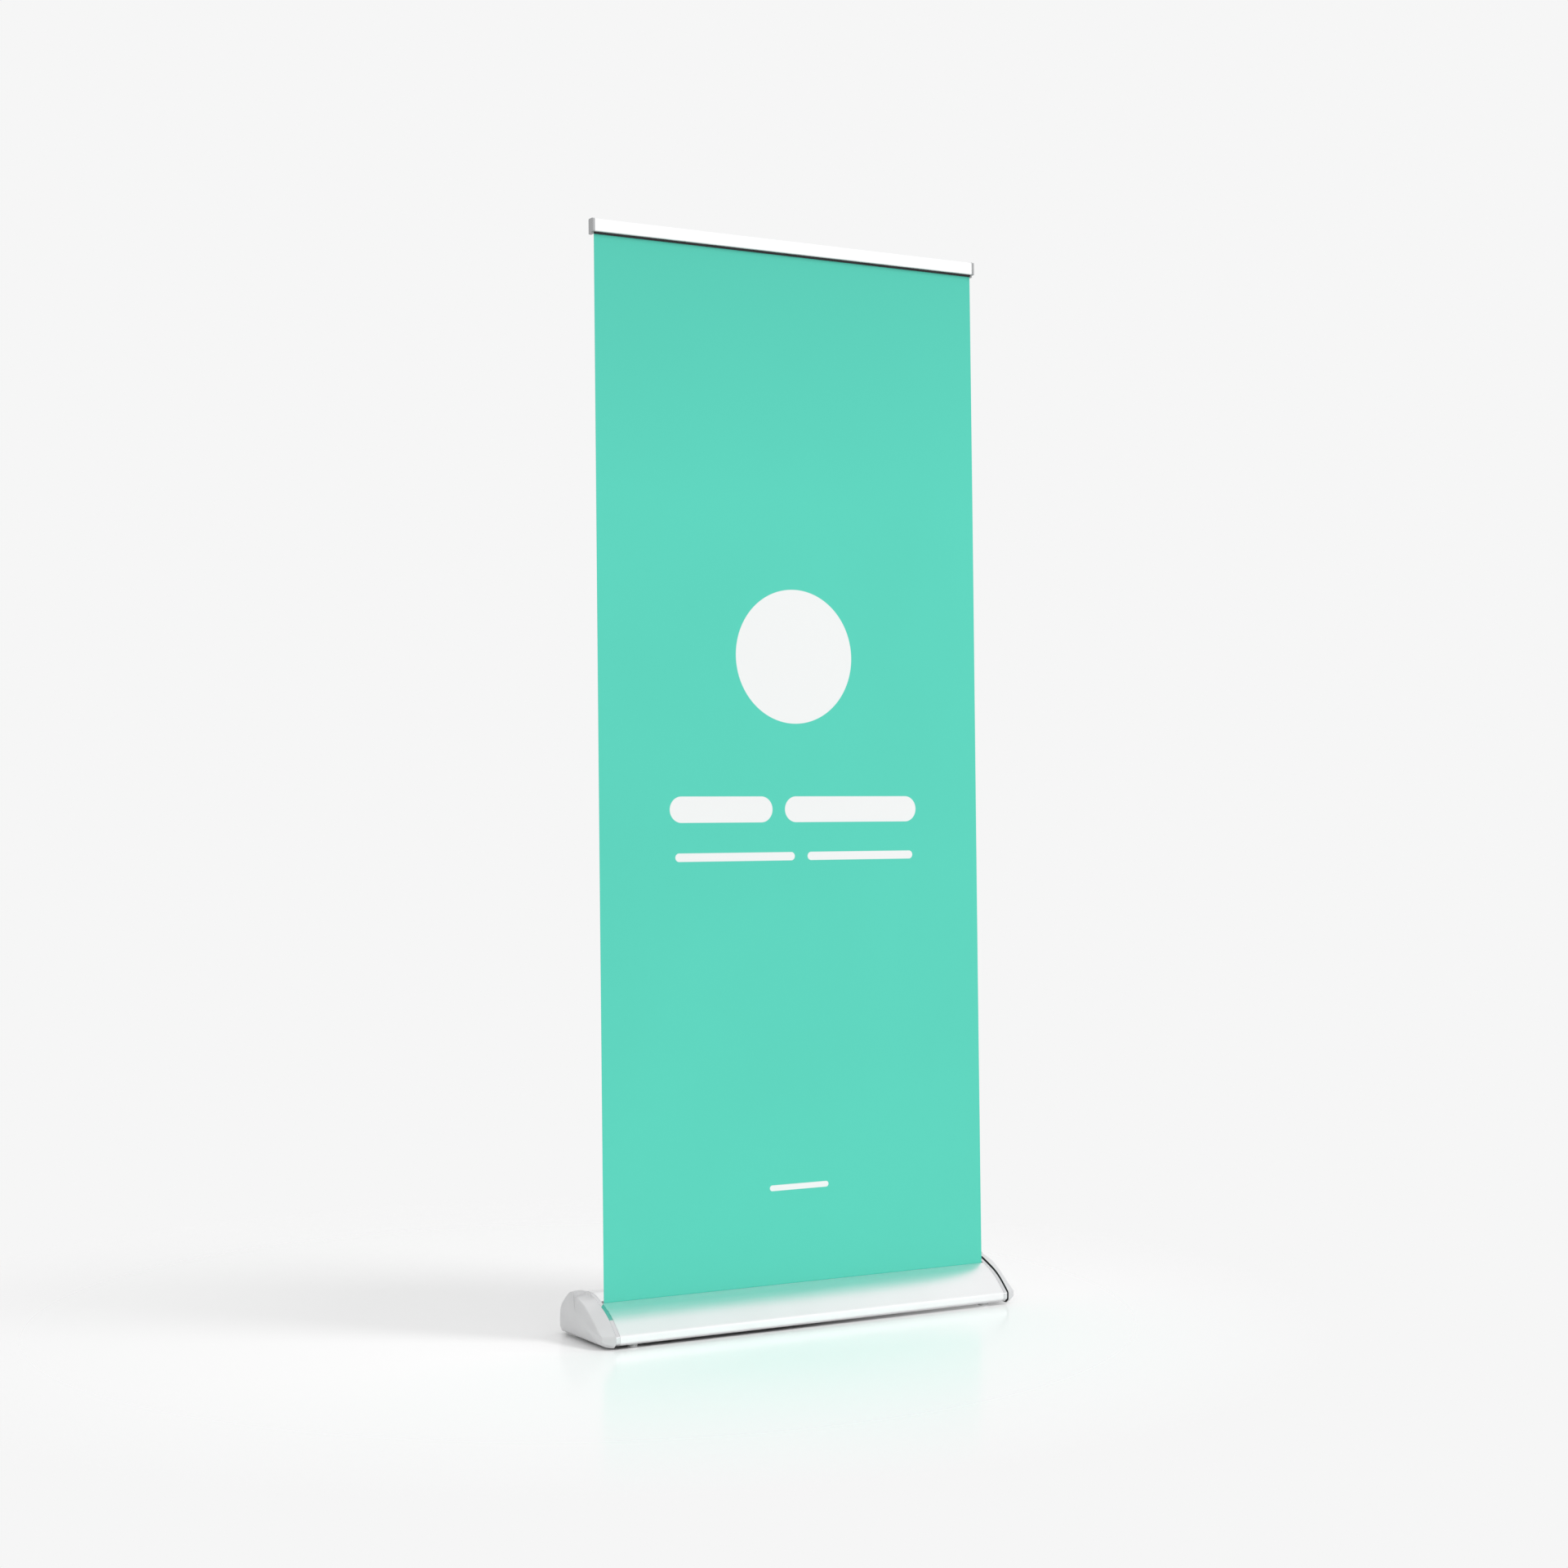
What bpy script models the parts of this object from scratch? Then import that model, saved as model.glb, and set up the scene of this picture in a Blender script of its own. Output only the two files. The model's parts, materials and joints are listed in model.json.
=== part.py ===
"""Roll-up banner stand: a weighted teardrop cassette with a spring roller, a pull-out banner in a
snap-open top rail, and a three-section telescopic pole that stands in the cassette and hooks the rail.

Frame: X runs along the base, the printed side faces -Y, +Z is up. The floor is Z = 0 and the origin
is under the middle of the base. Lengths are metres.
"""

import math

import bmesh
import bpy
import numpy as np
from mathutils import Vector

# ---------------------------------------------------------------- driving dimensions

clearance = 0.0003             # gap between pieces that touch
wall = 0.0022                  # cassette extrusion wall

banner_width = 0.850
banner_height = 2.000          # print that shows between the slot and the rail
banner_thickness = 0.0005
banner_tuck = 0.012            # length held inside the top rail
lean = math.radians(1.22)      # backward lean of banner and pole

# Cassette cross-section, measured back from the slot line and up from the front lip of the slot.
nose_y = -0.0735
nose_top = -0.0475
nose_bottom = -0.0605
slope_knee = (-0.038, -0.0145)
slope_brow = (0.010, 0.0063)
slot_front = -0.0030
slot_back = 0.0055
web_y = 0.0065                 # web behind the roller
crown_front = 0.037
crown_back = 0.070
crown_top = 0.0147
rear_y = 0.1295
rear_shoulder = -0.022
rear_bottom = -0.057
belly = -0.066                 # underside of the cassette
lip_height = 0.072             # front lip of the slot above the floor
mid_web_y = 0.078

slot_y = -0.028                # slot line in the object's frame, so the base is centred on Y = 0

banner_side_gap = 0.0030       # from the banner's edge to the end plate
plate_thickness = 0.0095
cap_proud = 0.0030             # the end caps stand this much outside the cassette
cap_wall = 0.0030
cap_shoulder = 0.022           # from the rim out to the crease round the side face
cap_bulge = 0.0075             # the side face stands this much past its crease
cap_nose_inset = 0.0135        # the crease against the rim at the nose, at the back and at the belly
cap_rear_inset = 0.018
cap_belly_rise = 0.007
crown_y = 0.060                # neither drawn forward nor back here
facet_end = 0.051              # the sloping facet beside the front ends here at the crease
facet_sweep = 0.035            # and this much further forward at the rim
FACET_DROP = [(-0.0765, 0.0020), (-0.055, 0.0100), (-0.035, 0.0115), (0.0, 0.0075), (0.030, 0.0085)]

port_radius = 0.0021           # screw ports in the extrusion
port_wall = 0.0014
screw_radius = 0.0018
screw_head_radius = 0.0035
screw_head_height = 0.0024
screw_grip = 0.012             # thread length inside the extrusion

roller_radius = 0.016
roller_wall = 0.001
roller_drop = 0.040            # roller axis below the lip, along the banner
shaft_radius = 0.004
shaft_length = 0.310
plug_length = 0.018
plug_flange = 0.0021
leader_thickness = 0.0004
wrap_thickness = 0.0006        # banner still wound on the roller
coil_radius = 0.008
coil_wire = 0.001
coil_turns = 16
spring_collar_length = 0.006
carrier_length = 0.016
retainer_thickness = 0.0010

pole_back = 0.049              # pole axis behind the banner
pole_wall = 0.001
lower_radius = 0.0125
slide_gap = 0.0005             # between one pole tube and the next
section_overlap = 0.055
socket_wall = 0.0022
socket_rim = 0.003             # flange past the socket's cup
socket_flange_height = 0.003
socket_floor = 0.002

collar_height = 0.050
collar_above = 0.010           # collar standing above its tube's end
collar_wall = 0.0052
ear_reach = 0.0085
ear_thickness = 0.003
ear_height = 0.016
lever_width = 0.0094
lever_length = 0.050
lever_thickness = 0.0045
lever_pin_radius = 0.0015
lever_hub_radius = 0.0034
lever_pin_drop = 0.002         # pin below the end of its tube

rail_overhang = 0.001          # rail past the banner's edge
rail_height = 0.0235
rail_front = -0.0075
rail_back = 0.0085
rail_wall = 0.0015
rail_skirt = 0.0045            # back wall hangs this far below the front jaw
rail_rear_leg = 0.006          # rear leg ends this far above the front jaw's edge
rail_cap_length = 0.006
rail_cap_proud = 0.0010
hinge_bead = 0.0016
hinge_y = -0.0016
hinge_z = 0.0200
jaw_relief = 0.0006            # corner taken off behind the hinge, so that the jaw opens fully
claw_wall = 0.0012
hook_width = 0.024
hook_arm = 0.008

foot_inset = 0.033             # feet this far inside the banner's edges
foot_y = -0.052                # behind the slot line
foot_radius = 0.010
foot_pad_height = 0.0026
foot_knob_height = 0.0025
foot_stud_radius = 0.003
foot_stud_length = 0.018
insert_radius = 0.006
insert_height = 0.010
rear_pad_y = 0.105
rear_pad_size = (0.034, 0.018)

# ---------------------------------------------------------------- worked-out dimensions

cassette_half = banner_width / 2 + banner_side_gap
plate_inner = cassette_half + clearance
plate_outer = plate_inner + plate_thickness
cap_rim = plate_outer + clearance
belly_inner = belly + wall
bank = roller_radius + clearance + leader_thickness + clearance + wrap_thickness
roller_back = -(bank + clearance + banner_thickness / 2)
socket_radius = lower_radius + clearance + socket_wall
socket_flange_radius = socket_radius + socket_rim
foot_x = banner_width / 2 - foot_inset
rail_z = banner_height
rail_half = banner_width / 2 + rail_overhang

ALONG_X = (math.pi / 2, 0.0, math.pi / 2)    # local X, Y, Z become world Y, Z, X
CURVE_STEP = math.radians(15)
CHORD = 0.010                  # longest straight step along a wide arc


def leaned(back, up):
    """Slot-frame place of a point given behind the banner and up along it."""
    y = back * math.cos(lean) + up * math.sin(lean)
    z = up * math.cos(lean) - back * math.sin(lean)
    return y, z


# ---------------------------------------------------------------- scene and materials

for old in list(bpy.data.objects):
    bpy.data.objects.remove(old, do_unlink=True)

MATERIALS = {
    "satin_aluminium": ((0.78, 0.79, 0.80), 0.32, 0.9),
    "polished_trim": ((0.80, 0.81, 0.82), 0.08, 1.0),
    "silver_plastic": ((0.62, 0.63, 0.64), 0.45, 0.3),
    "banner_print": ((0.11, 0.66, 0.51), 0.55, 0.0),
    "rail_white": ((0.93, 0.94, 0.94), 0.25, 0.2),
    "grey_plastic": ((0.45, 0.45, 0.46), 0.5, 0.0),
    "black_plastic": ((0.03, 0.03, 0.035), 0.5, 0.0),
    "steel": ((0.55, 0.56, 0.58), 0.3, 1.0),
    "black_rubber": ((0.02, 0.02, 0.02), 0.8, 0.0),
    "foot_plastic": ((0.70, 0.71, 0.71), 0.5, 0.0),
    "leader_film": ((0.85, 0.85, 0.83), 0.5, 0.0),
}


def make_material(name, colour, roughness, metallic):
    material = bpy.data.materials.new(name)
    material.use_nodes = True
    shader = material.node_tree.nodes["Principled BSDF"]
    shader.inputs["Base Color"].default_value = (*colour, 1.0)
    shader.inputs["Roughness"].default_value = roughness
    shader.inputs["Metallic"].default_value = metallic
    material.diffuse_color = (*colour, 1.0)
    return material


FINISH = {name: make_material(name, *values) for name, values in MATERIALS.items()}


def make_empty(name, location, rotation=(0.0, 0.0, 0.0), parent=None):
    empty = bpy.data.objects.new(name, None)
    empty.location = location
    empty.rotation_euler = rotation
    empty.parent = parent
    bpy.context.collection.objects.link(empty)
    return empty


base_frame = make_empty("base_frame", (0.0, slot_y, lip_height))
lean_frame = make_empty("lean_frame", (0.0, slot_y, lip_height), (-lean, 0.0, 0.0))
roller_axis = make_empty("roller_axis", (0.0, roller_back, -roller_drop), (lean, 0.0, 0.0), lean_frame)


def make_object(name, bm, finish, parent, location=(0.0, 0.0, 0.0), rotation=(0.0, 0.0, 0.0)):
    """Closes a bmesh into a named object with its normals out and its round faces smooth."""
    bmesh.ops.recalc_face_normals(bm, faces=bm.faces[:])
    mesh = bpy.data.meshes.new(name)
    bm.to_mesh(mesh)
    bm.free()
    mesh.materials.append(FINISH[finish])
    mesh.shade_smooth()
    mesh.set_sharp_from_angle(angle=math.radians(35))
    obj = bpy.data.objects.new(name, mesh)
    bpy.context.collection.objects.link(obj)
    obj.parent = parent
    obj.location = location
    obj.rotation_euler = rotation
    return obj


# ---------------------------------------------------------------- outlines

def circle(centre, radius, sides=12):
    turn = 2 * math.pi / sides
    return [(centre[0] + radius * math.cos(turn * i), centre[1] + radius * math.sin(turn * i))
            for i in range(sides)]


def arc(centre, radius, start, end, steps):
    """Points on an arc from one angle to another, in degrees, both ends included."""
    angles = [math.radians(start + (end - start) * i / steps) for i in range(steps + 1)]
    return [(centre[0] + radius * math.cos(a), centre[1] + radius * math.sin(a)) for a in angles]


def rounded(corners):
    """Outline through corners (u, v, radius), each rounded by an arc that its edges have room for."""
    points = []
    count = len(corners)
    for i, (u, v, radius) in enumerate(corners):
        here = Vector((u, v))
        before = Vector(corners[i - 1][:2]) - here
        after = Vector(corners[(i + 1) % count][:2]) - here
        half = before.angle(after) / 2
        reach = min(radius / math.tan(half), 0.48 * before.length, 0.48 * after.length)
        swing = math.pi - 2 * half
        steps = max(1, round(swing / CURVE_STEP), round(swing * radius / CHORD))
        if reach < 1e-6:
            points.append((u, v))
            continue
        start = here + before.normalized() * reach
        end = here + after.normalized() * reach
        centre = here + (before.normalized() + after.normalized()).normalized() * (reach / math.cos(half))
        spoke = start - centre
        first = math.atan2(spoke.y, spoke.x)
        turn = math.remainder(math.atan2(*reversed(end - centre)) - first, 2 * math.pi)
        points += [(centre.x + spoke.length * math.cos(first + turn * k / steps),
                    centre.y + spoke.length * math.sin(first + turn * k / steps)) for k in range(steps + 1)]
    return points


def offset(points, distance):
    """Counter-clockwise outline moved outward by a distance, or inward by a negative one."""
    moved = []
    for i, point in enumerate(points):
        here = Vector(point)
        edge_in = (here - Vector(points[i - 1])).normalized()
        edge_out = (Vector(points[(i + 1) % len(points)]) - here).normalized()
        normal_in = Vector((edge_in.y, -edge_in.x))
        normal_out = Vector((edge_out.y, -edge_out.x))
        middle = (normal_in + normal_out).normalized()
        moved.append(tuple(here + middle * (distance / middle.dot(normal_in))))
    return moved


def trimmed(points, place, direction):
    """The part of an outline that lies behind a line through place, whose normal is direction."""
    origin, normal = Vector(place), Vector(direction).normalized()
    kept = []
    for i, point in enumerate(points):
        previous = Vector(points[i - 1])
        here = Vector(point)
        depth_before = (previous - origin).dot(normal)
        depth_here = (here - origin).dot(normal)
        if (depth_before < 0) != (depth_here < 0):
            share = depth_before / (depth_before - depth_here)
            kept.append(tuple(previous.lerp(here, share)))
        if depth_here < 0:
            kept.append(tuple(here))
    return kept


# ---------------------------------------------------------------- solids

def prism(loops, low, high):
    """Flat outline with holes, filled and extruded along local Z."""
    bm = bmesh.new()
    edges = []
    for loop in loops:
        verts = [bm.verts.new((u, v, low)) for u, v in loop]
        edges += [bm.edges.new((verts[i - 1], verts[i])) for i in range(len(verts))]
    bmesh.ops.triangle_fill(bm, edges=edges, use_beauty=True)
    lifted = bmesh.ops.extrude_face_region(bm, geom=bm.faces[:])["geom"]
    top = [part for part in lifted if isinstance(part, bmesh.types.BMVert)]
    bmesh.ops.translate(bm, verts=top, vec=(0.0, 0.0, high - low))
    return bm


def turned(profile, sides=24, ring=False):
    """Profile of (radius, height) points spun about local Z. A ring's profile closes on itself."""
    bm = bmesh.new()
    verts = [bm.verts.new((radius, 0.0, height)) for radius, height in profile]
    edges = [bm.edges.new(pair) for pair in zip(verts, verts[1:])]
    if ring:
        edges.append(bm.edges.new((verts[-1], verts[0])))
    bmesh.ops.spin(bm, geom=verts + edges, cent=(0, 0, 0), axis=(0, 0, 1),
                   angle=2 * math.pi, steps=sides, use_merge=True)
    bmesh.ops.remove_doubles(bm, verts=bm.verts[:], dist=1e-6)
    return bm


def tube(outer, inner, low, high, sides=24):
    return turned([(inner, low), (outer, low), (outer, high), (inner, high)], sides, ring=True)


def rod(radius, low, high, sides=24):
    return turned([(0, low), (radius, low), (radius, high), (0, high)], sides)


def box(low, high):
    bm = bmesh.new()
    bmesh.ops.create_cube(bm, size=1.0)
    size = Vector(high) - Vector(low)
    bmesh.ops.scale(bm, vec=size, verts=bm.verts[:])
    bmesh.ops.translate(bm, vec=Vector(low) + size / 2, verts=bm.verts[:])
    return bm


def add_boolean(obj, name, bm, operation, parent, location=(0.0, 0.0, 0.0), rotation=(0.0, 0.0, 0.0)):
    """Cuts a shape from an object, or joins it on, with an EXACT Boolean and a hidden tool."""
    tool = make_object(name, bm, "steel", parent, location, rotation)
    tool.hide_render = True
    tool.display_type = "WIRE"
    modifier = obj.modifiers.new(name, "BOOLEAN")
    modifier.operation = operation
    modifier.object = tool


def add_bevel(obj, width, segments=2):
    bevel = obj.modifiers.new("edges", "BEVEL")
    bevel.width = width
    bevel.segments = segments
    bevel.limit_method = "ANGLE"
    bevel.angle_limit = math.radians(40)


# ---------------------------------------------------------------- cassette

def base_outline():
    """Outside of the cassette in the YZ plane, counter-clockwise, with the slot filled in."""
    return rounded([
        (*slope_brow, 0.180),
        (*slope_knee, 0.180),
        (nose_y, nose_top, 0.006),
        (nose_y, nose_bottom, 0.004),
        (nose_y + 0.0065, belly, 0.003),
        (rear_y - 0.0085, belly, 0.004),
        (rear_y, rear_bottom, 0.006),
        (rear_y, rear_shoulder, 0.028),
        (crown_back, crown_top, 0.045),
        (crown_front, crown_top, 0.025),
    ])


outline = base_outline()
cavity = offset(outline, -wall)

# Screw ports: corner of a chamber, place relative to that corner, and the way to open space.
PORTS = [
    ((nose_y + wall, belly_inner), (0.0058, 0.0050), (1.0, 1.0)),
    ((web_y, belly_inner), (-0.0050, 0.0050), (-1.0, 1.0)),
    ((web_y + wall, slope_brow[1] - wall), (0.0045, -0.0046), (1.0, -1.0)),
    ((rear_y - wall, belly_inner), (-0.0090, 0.0075), (-1.0, 1.0)),
]
port_places = [(corner[0] + shift[0], corner[1] + shift[1]) for corner, shift, _ in PORTS]


def keep_port(chamber, number):
    """Leaves solid metal round a screw port in the corner of a chamber."""
    place = Vector(port_places[number])
    away = Vector(PORTS[number][2]).normalized()
    return trimmed(chamber, place + away * (port_radius + port_wall), -away)


def cassette():
    roller_room = keep_port(keep_port(trimmed(cavity, (web_y, 0), (1, 0)), 0), 1)
    pole_room = trimmed(trimmed(cavity, (web_y + wall, 0), (-1, 0)), (mid_web_y, 0), (1, 0))
    rear_room = keep_port(trimmed(cavity, (mid_web_y + wall, 0), (-1, 0)), 3)
    loops = [outline, roller_room, keep_port(pole_room, 2), rear_room]
    loops += [circle(place, port_radius, 10) for place in port_places]
    shell = make_object("cassette_shell", prism(loops, -cassette_half, cassette_half),
                        "satin_aluminium", base_frame, rotation=ALONG_X)
    reach = cassette_half + 0.01
    slot = box((-reach, slot_front, -0.008), (reach, slot_back, 0.015))
    add_boolean(shell, "slot_cutter", slot, "DIFFERENCE", base_frame)
    hole = rod(socket_radius + clearance, 0.0, 0.040, 32)
    add_boolean(shell, "socket_cutter", hole, "DIFFERENCE", lean_frame, (0.0, pole_back, 0.0))
    for side, sign in (("left", -1), ("right", 1)):
        bore = rod(insert_radius + clearance, belly - 0.005, belly_inner + 0.004, 16)
        add_boolean(shell, "insert_cutter_" + side, bore, "DIFFERENCE", base_frame, (sign * foot_x, foot_y, 0.0))


def end_plate(side, sign):
    axis = leaned(roller_back, -roller_drop)
    loops = [outline, circle(axis, shaft_radius + clearance, 16)]
    loops += [circle(place, screw_radius + clearance, 10) for place in port_places]
    low, high = sorted((sign * plate_inner, sign * plate_outer))
    make_object("end_plate_" + side, prism(loops, low, high), "polished_trim", base_frame, rotation=ALONG_X)
    for number, place in enumerate(port_places, 1):
        head = plate_outer + clearance
        tip = cassette_half - screw_grip
        profile = [(0, tip), (screw_radius, tip), (screw_radius, head), (screw_head_radius, head),
                   (screw_head_radius, head + 0.6 * screw_head_height),
                   (0.6 * screw_head_radius, head + screw_head_height), (0, head + screw_head_height)]
        screw = turned([(radius, sign * height) for radius, height in profile], 12)
        make_object("plate_screw_%s_%d" % (side, number), screw, "steel", base_frame, (0.0, *place), ALONG_X)


def eased(value):
    value = min(1.0, max(0.0, value))
    return value * value * (3 - 2 * value)


def cap_ring(rim, share):
    """The end cap's outline at a share of the way from its rim to the crease round its side face.
    Beside the front slope it is a straight facet that falls away, and elsewhere it is full and turns in late."""
    ring = []
    for y, z in rim:
        if y < crown_y:
            inset = cap_nose_inset * share * (crown_y - y) / (crown_y - nose_y)
        else:
            inset = -cap_rear_inset * share ** 3 * ((y - crown_y) / (rear_y - crown_y)) ** 2
        under = eased((-0.054 - z) / 0.012)
        end = facet_end - facet_sweep * (1 - share) ** 4
        facet = (1 - under) * eased((end - y) / 0.006 + 0.5)
        drop = float(np.interp(y, *zip(*FACET_DROP)))
        ring.append((y + inset, z - facet * drop * share + under * cap_belly_rise * share ** 3
                     - (1 - facet) * (1 - under) * 0.0015 * share ** 3))
    return ring


def densified(points, step):
    """Closed outline with points added, so that no edge is longer than a step."""
    dense = []
    for i, point in enumerate(points):
        here, after = Vector(point), Vector(points[(i + 1) % len(points)])
        pieces = math.ceil((after - here).length / step)
        dense += [tuple(here.lerp(after, k / pieces)) for k in range(pieces)]
    return dense


def end_cap(side, sign):
    """Hollow moulded cover: rings from the rim out to the crease, across the side face, then back inside."""
    centre = Vector(((nose_y + rear_y) / 2, (belly + crown_top) / 2))
    base = densified(outline, 0.006)
    rim = offset(base, cap_proud)
    crease = cap_ring(rim, 1.0)

    def scaled_ring(scale, reach):
        return [(*centre.lerp(Vector(point), scale), reach) for point in crease]

    rings = [[(y, z, share * cap_shoulder) for y, z in cap_ring(rim, share)]
             for share in (0.0, 0.2, 0.45, 0.7, 0.88, 1.0)]
    rings += [scaled_ring(scale, cap_shoulder + cap_bulge * (1 - scale ** 2) ** 0.75)
              for scale in (0.93, 0.75, 0.50, 0.25)]
    hollow = [scaled_ring(scale, cap_shoulder - cap_wall) for scale in (0.25, 0.92)]
    hollow.append([(y, z, 0.0) for y, z in offset(base, cap_proud - cap_wall - 0.0015)])

    bm = bmesh.new()
    levels = [[bm.verts.new((sign * (cap_rim + x), y, z)) for y, z, x in ring] for ring in rings + hollow]
    bridges = [(k, k + 1) for k in range(len(levels) - 1) if k != len(rings) - 1]
    bridges.append((len(levels) - 1, 0))
    for lower, upper in bridges:
        for i in range(len(rim)):
            bm.faces.new((levels[lower][i - 1], levels[lower][i], levels[upper][i], levels[upper][i - 1]))
    for level in (levels[len(rings) - 1], levels[len(rings)]):
        bm.faces.new(level)
    make_object("end_cap_" + side, bm, "silver_plastic", base_frame)


def feet(side, sign):
    place = (sign * foot_x, foot_y, 0.0)
    knob_low = -lip_height + foot_pad_height + clearance
    knob_high = knob_low + foot_knob_height
    pad_low = -lip_height
    pad = turned([(0, pad_low), (foot_radius - 0.0006, pad_low), (foot_radius, pad_low + 0.0006),
                  (foot_radius, pad_low + foot_pad_height), (0, pad_low + foot_pad_height)])
    make_object("foot_pad_" + side, pad, "foot_plastic", base_frame, place)
    stud = turned([(0, knob_low), (foot_radius, knob_low), (foot_radius, knob_high),
                   (foot_stud_radius, knob_high), (foot_stud_radius, knob_high + foot_stud_length),
                   (0, knob_high + foot_stud_length)])
    make_object("foot_stud_" + side, stud, "foot_plastic", base_frame, place)
    insert_low = belly + clearance
    insert = tube(insert_radius, foot_stud_radius + clearance, insert_low, insert_low + insert_height, 16)
    make_object("foot_insert_" + side, insert, "steel", base_frame, place)
    half_x, half_y = rear_pad_size[0] / 2, rear_pad_size[1] / 2
    pad_outline = rounded([(-half_x, -half_y, 0.004), (half_x, -half_y, 0.004),
                           (half_x, half_y, 0.004), (-half_x, half_y, 0.004)])
    make_object("rear_pad_" + side, prism([pad_outline], -lip_height, belly - clearance),
                "black_rubber", base_frame, (sign * foot_x, rear_pad_y, 0.0))


# ---------------------------------------------------------------- spring roller

def roller():
    tube_inner = roller_radius - roller_wall
    tube_half = plate_inner - clearance - plug_flange - clearance
    plug_radius = tube_inner - clearance
    bore = shaft_radius + clearance

    def along(name, bm, finish):
        make_object(name, bm, finish, roller_axis, rotation=ALONG_X)

    along("roller_tube", tube(roller_radius, tube_inner, -tube_half, tube_half, 32), "satin_aluminium")
    for name, sign in (("drive_plug", -1), ("idler_plug", 1)):
        flange_in, flange_out = tube_half + clearance, tube_half + clearance + plug_flange
        profile = [(bore, flange_out), (roller_radius, flange_out), (roller_radius, flange_in),
                   (plug_radius, flange_in), (plug_radius, tube_half - plug_length),
                   (bore, tube_half - plug_length)]
        along(name, turned([(r, sign * x) for r, x in profile], ring=True), "black_plastic")

    shaft_end = -(plate_outer + 0.004)
    along("spring_shaft", rod(shaft_radius, shaft_end, shaft_end + shaft_length, 16), "steel")
    pin_tip = tube_half - plug_length - 0.004
    along("idler_pin", rod(shaft_radius, pin_tip, plate_outer + 0.004, 16), "steel")
    for name, sign in (("shaft_retainer", -1), ("pin_retainer", 1)):
        low, high = sorted((sign * (plate_outer + clearance),
                            sign * (plate_outer + clearance + retainer_thickness)))
        along(name, tube(shaft_radius + 0.004, bore, low, high, 16), "steel")

    collar_low = -(tube_half - plug_length) + 2 * clearance
    collar_high = collar_low + spring_collar_length
    along("spring_collar", tube(coil_radius + 0.002, bore, collar_low, collar_high), "black_plastic")
    carrier_high = shaft_end + shaft_length - 0.004
    carrier_low = carrier_high - carrier_length
    along("spring_carrier", tube(plug_radius, bore, carrier_low, carrier_high), "black_plastic")
    torsion_spring(collar_high + clearance, carrier_low - clearance)

    leader_in = roller_radius + clearance
    leader_out = leader_in + leader_thickness
    leader = arc((0, 0), leader_in, 20, 320, 24) + arc((0, 0), leader_out, 320, 20, 24)
    half = banner_width / 2
    along("leader_strip", prism([leader], -half, half), "leader_film")
    wrap_in = leader_out + clearance
    along("banner_roll", tube(wrap_in + wrap_thickness, wrap_in, -half, half, 32), "banner_print")


def torsion_spring(low, high):
    """Helix of round wire about local X, from end to end, as a bevelled curve."""
    steps_per_turn = 10
    steps = coil_turns * steps_per_turn
    start, end = low + coil_wire, high - coil_wire
    curve = bpy.data.curves.new("torsion_spring", "CURVE")
    curve.dimensions = "3D"
    curve.bevel_depth = coil_wire
    curve.bevel_resolution = 0
    curve.use_fill_caps = True
    spline = curve.splines.new("POLY")
    spline.points.add(steps)
    for i, point in enumerate(spline.points):
        angle = 2 * math.pi * i / steps_per_turn
        x = start + (end - start) * i / steps
        point.co = (x, coil_radius * math.cos(angle), coil_radius * math.sin(angle), 1.0)
    curve.materials.append(FINISH["steel"])
    spring = bpy.data.objects.new("torsion_spring", curve)
    spring.parent = roller_axis
    bpy.context.collection.objects.link(spring)


# ---------------------------------------------------------------- banner and top rail

def banner():
    half = banner_width / 2
    low = (-half, -banner_thickness / 2, -roller_drop)
    high = (half, banner_thickness / 2, banner_height + banner_tuck)
    make_object("banner_sheet", box(low, high), "banner_print", lean_frame)


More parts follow.
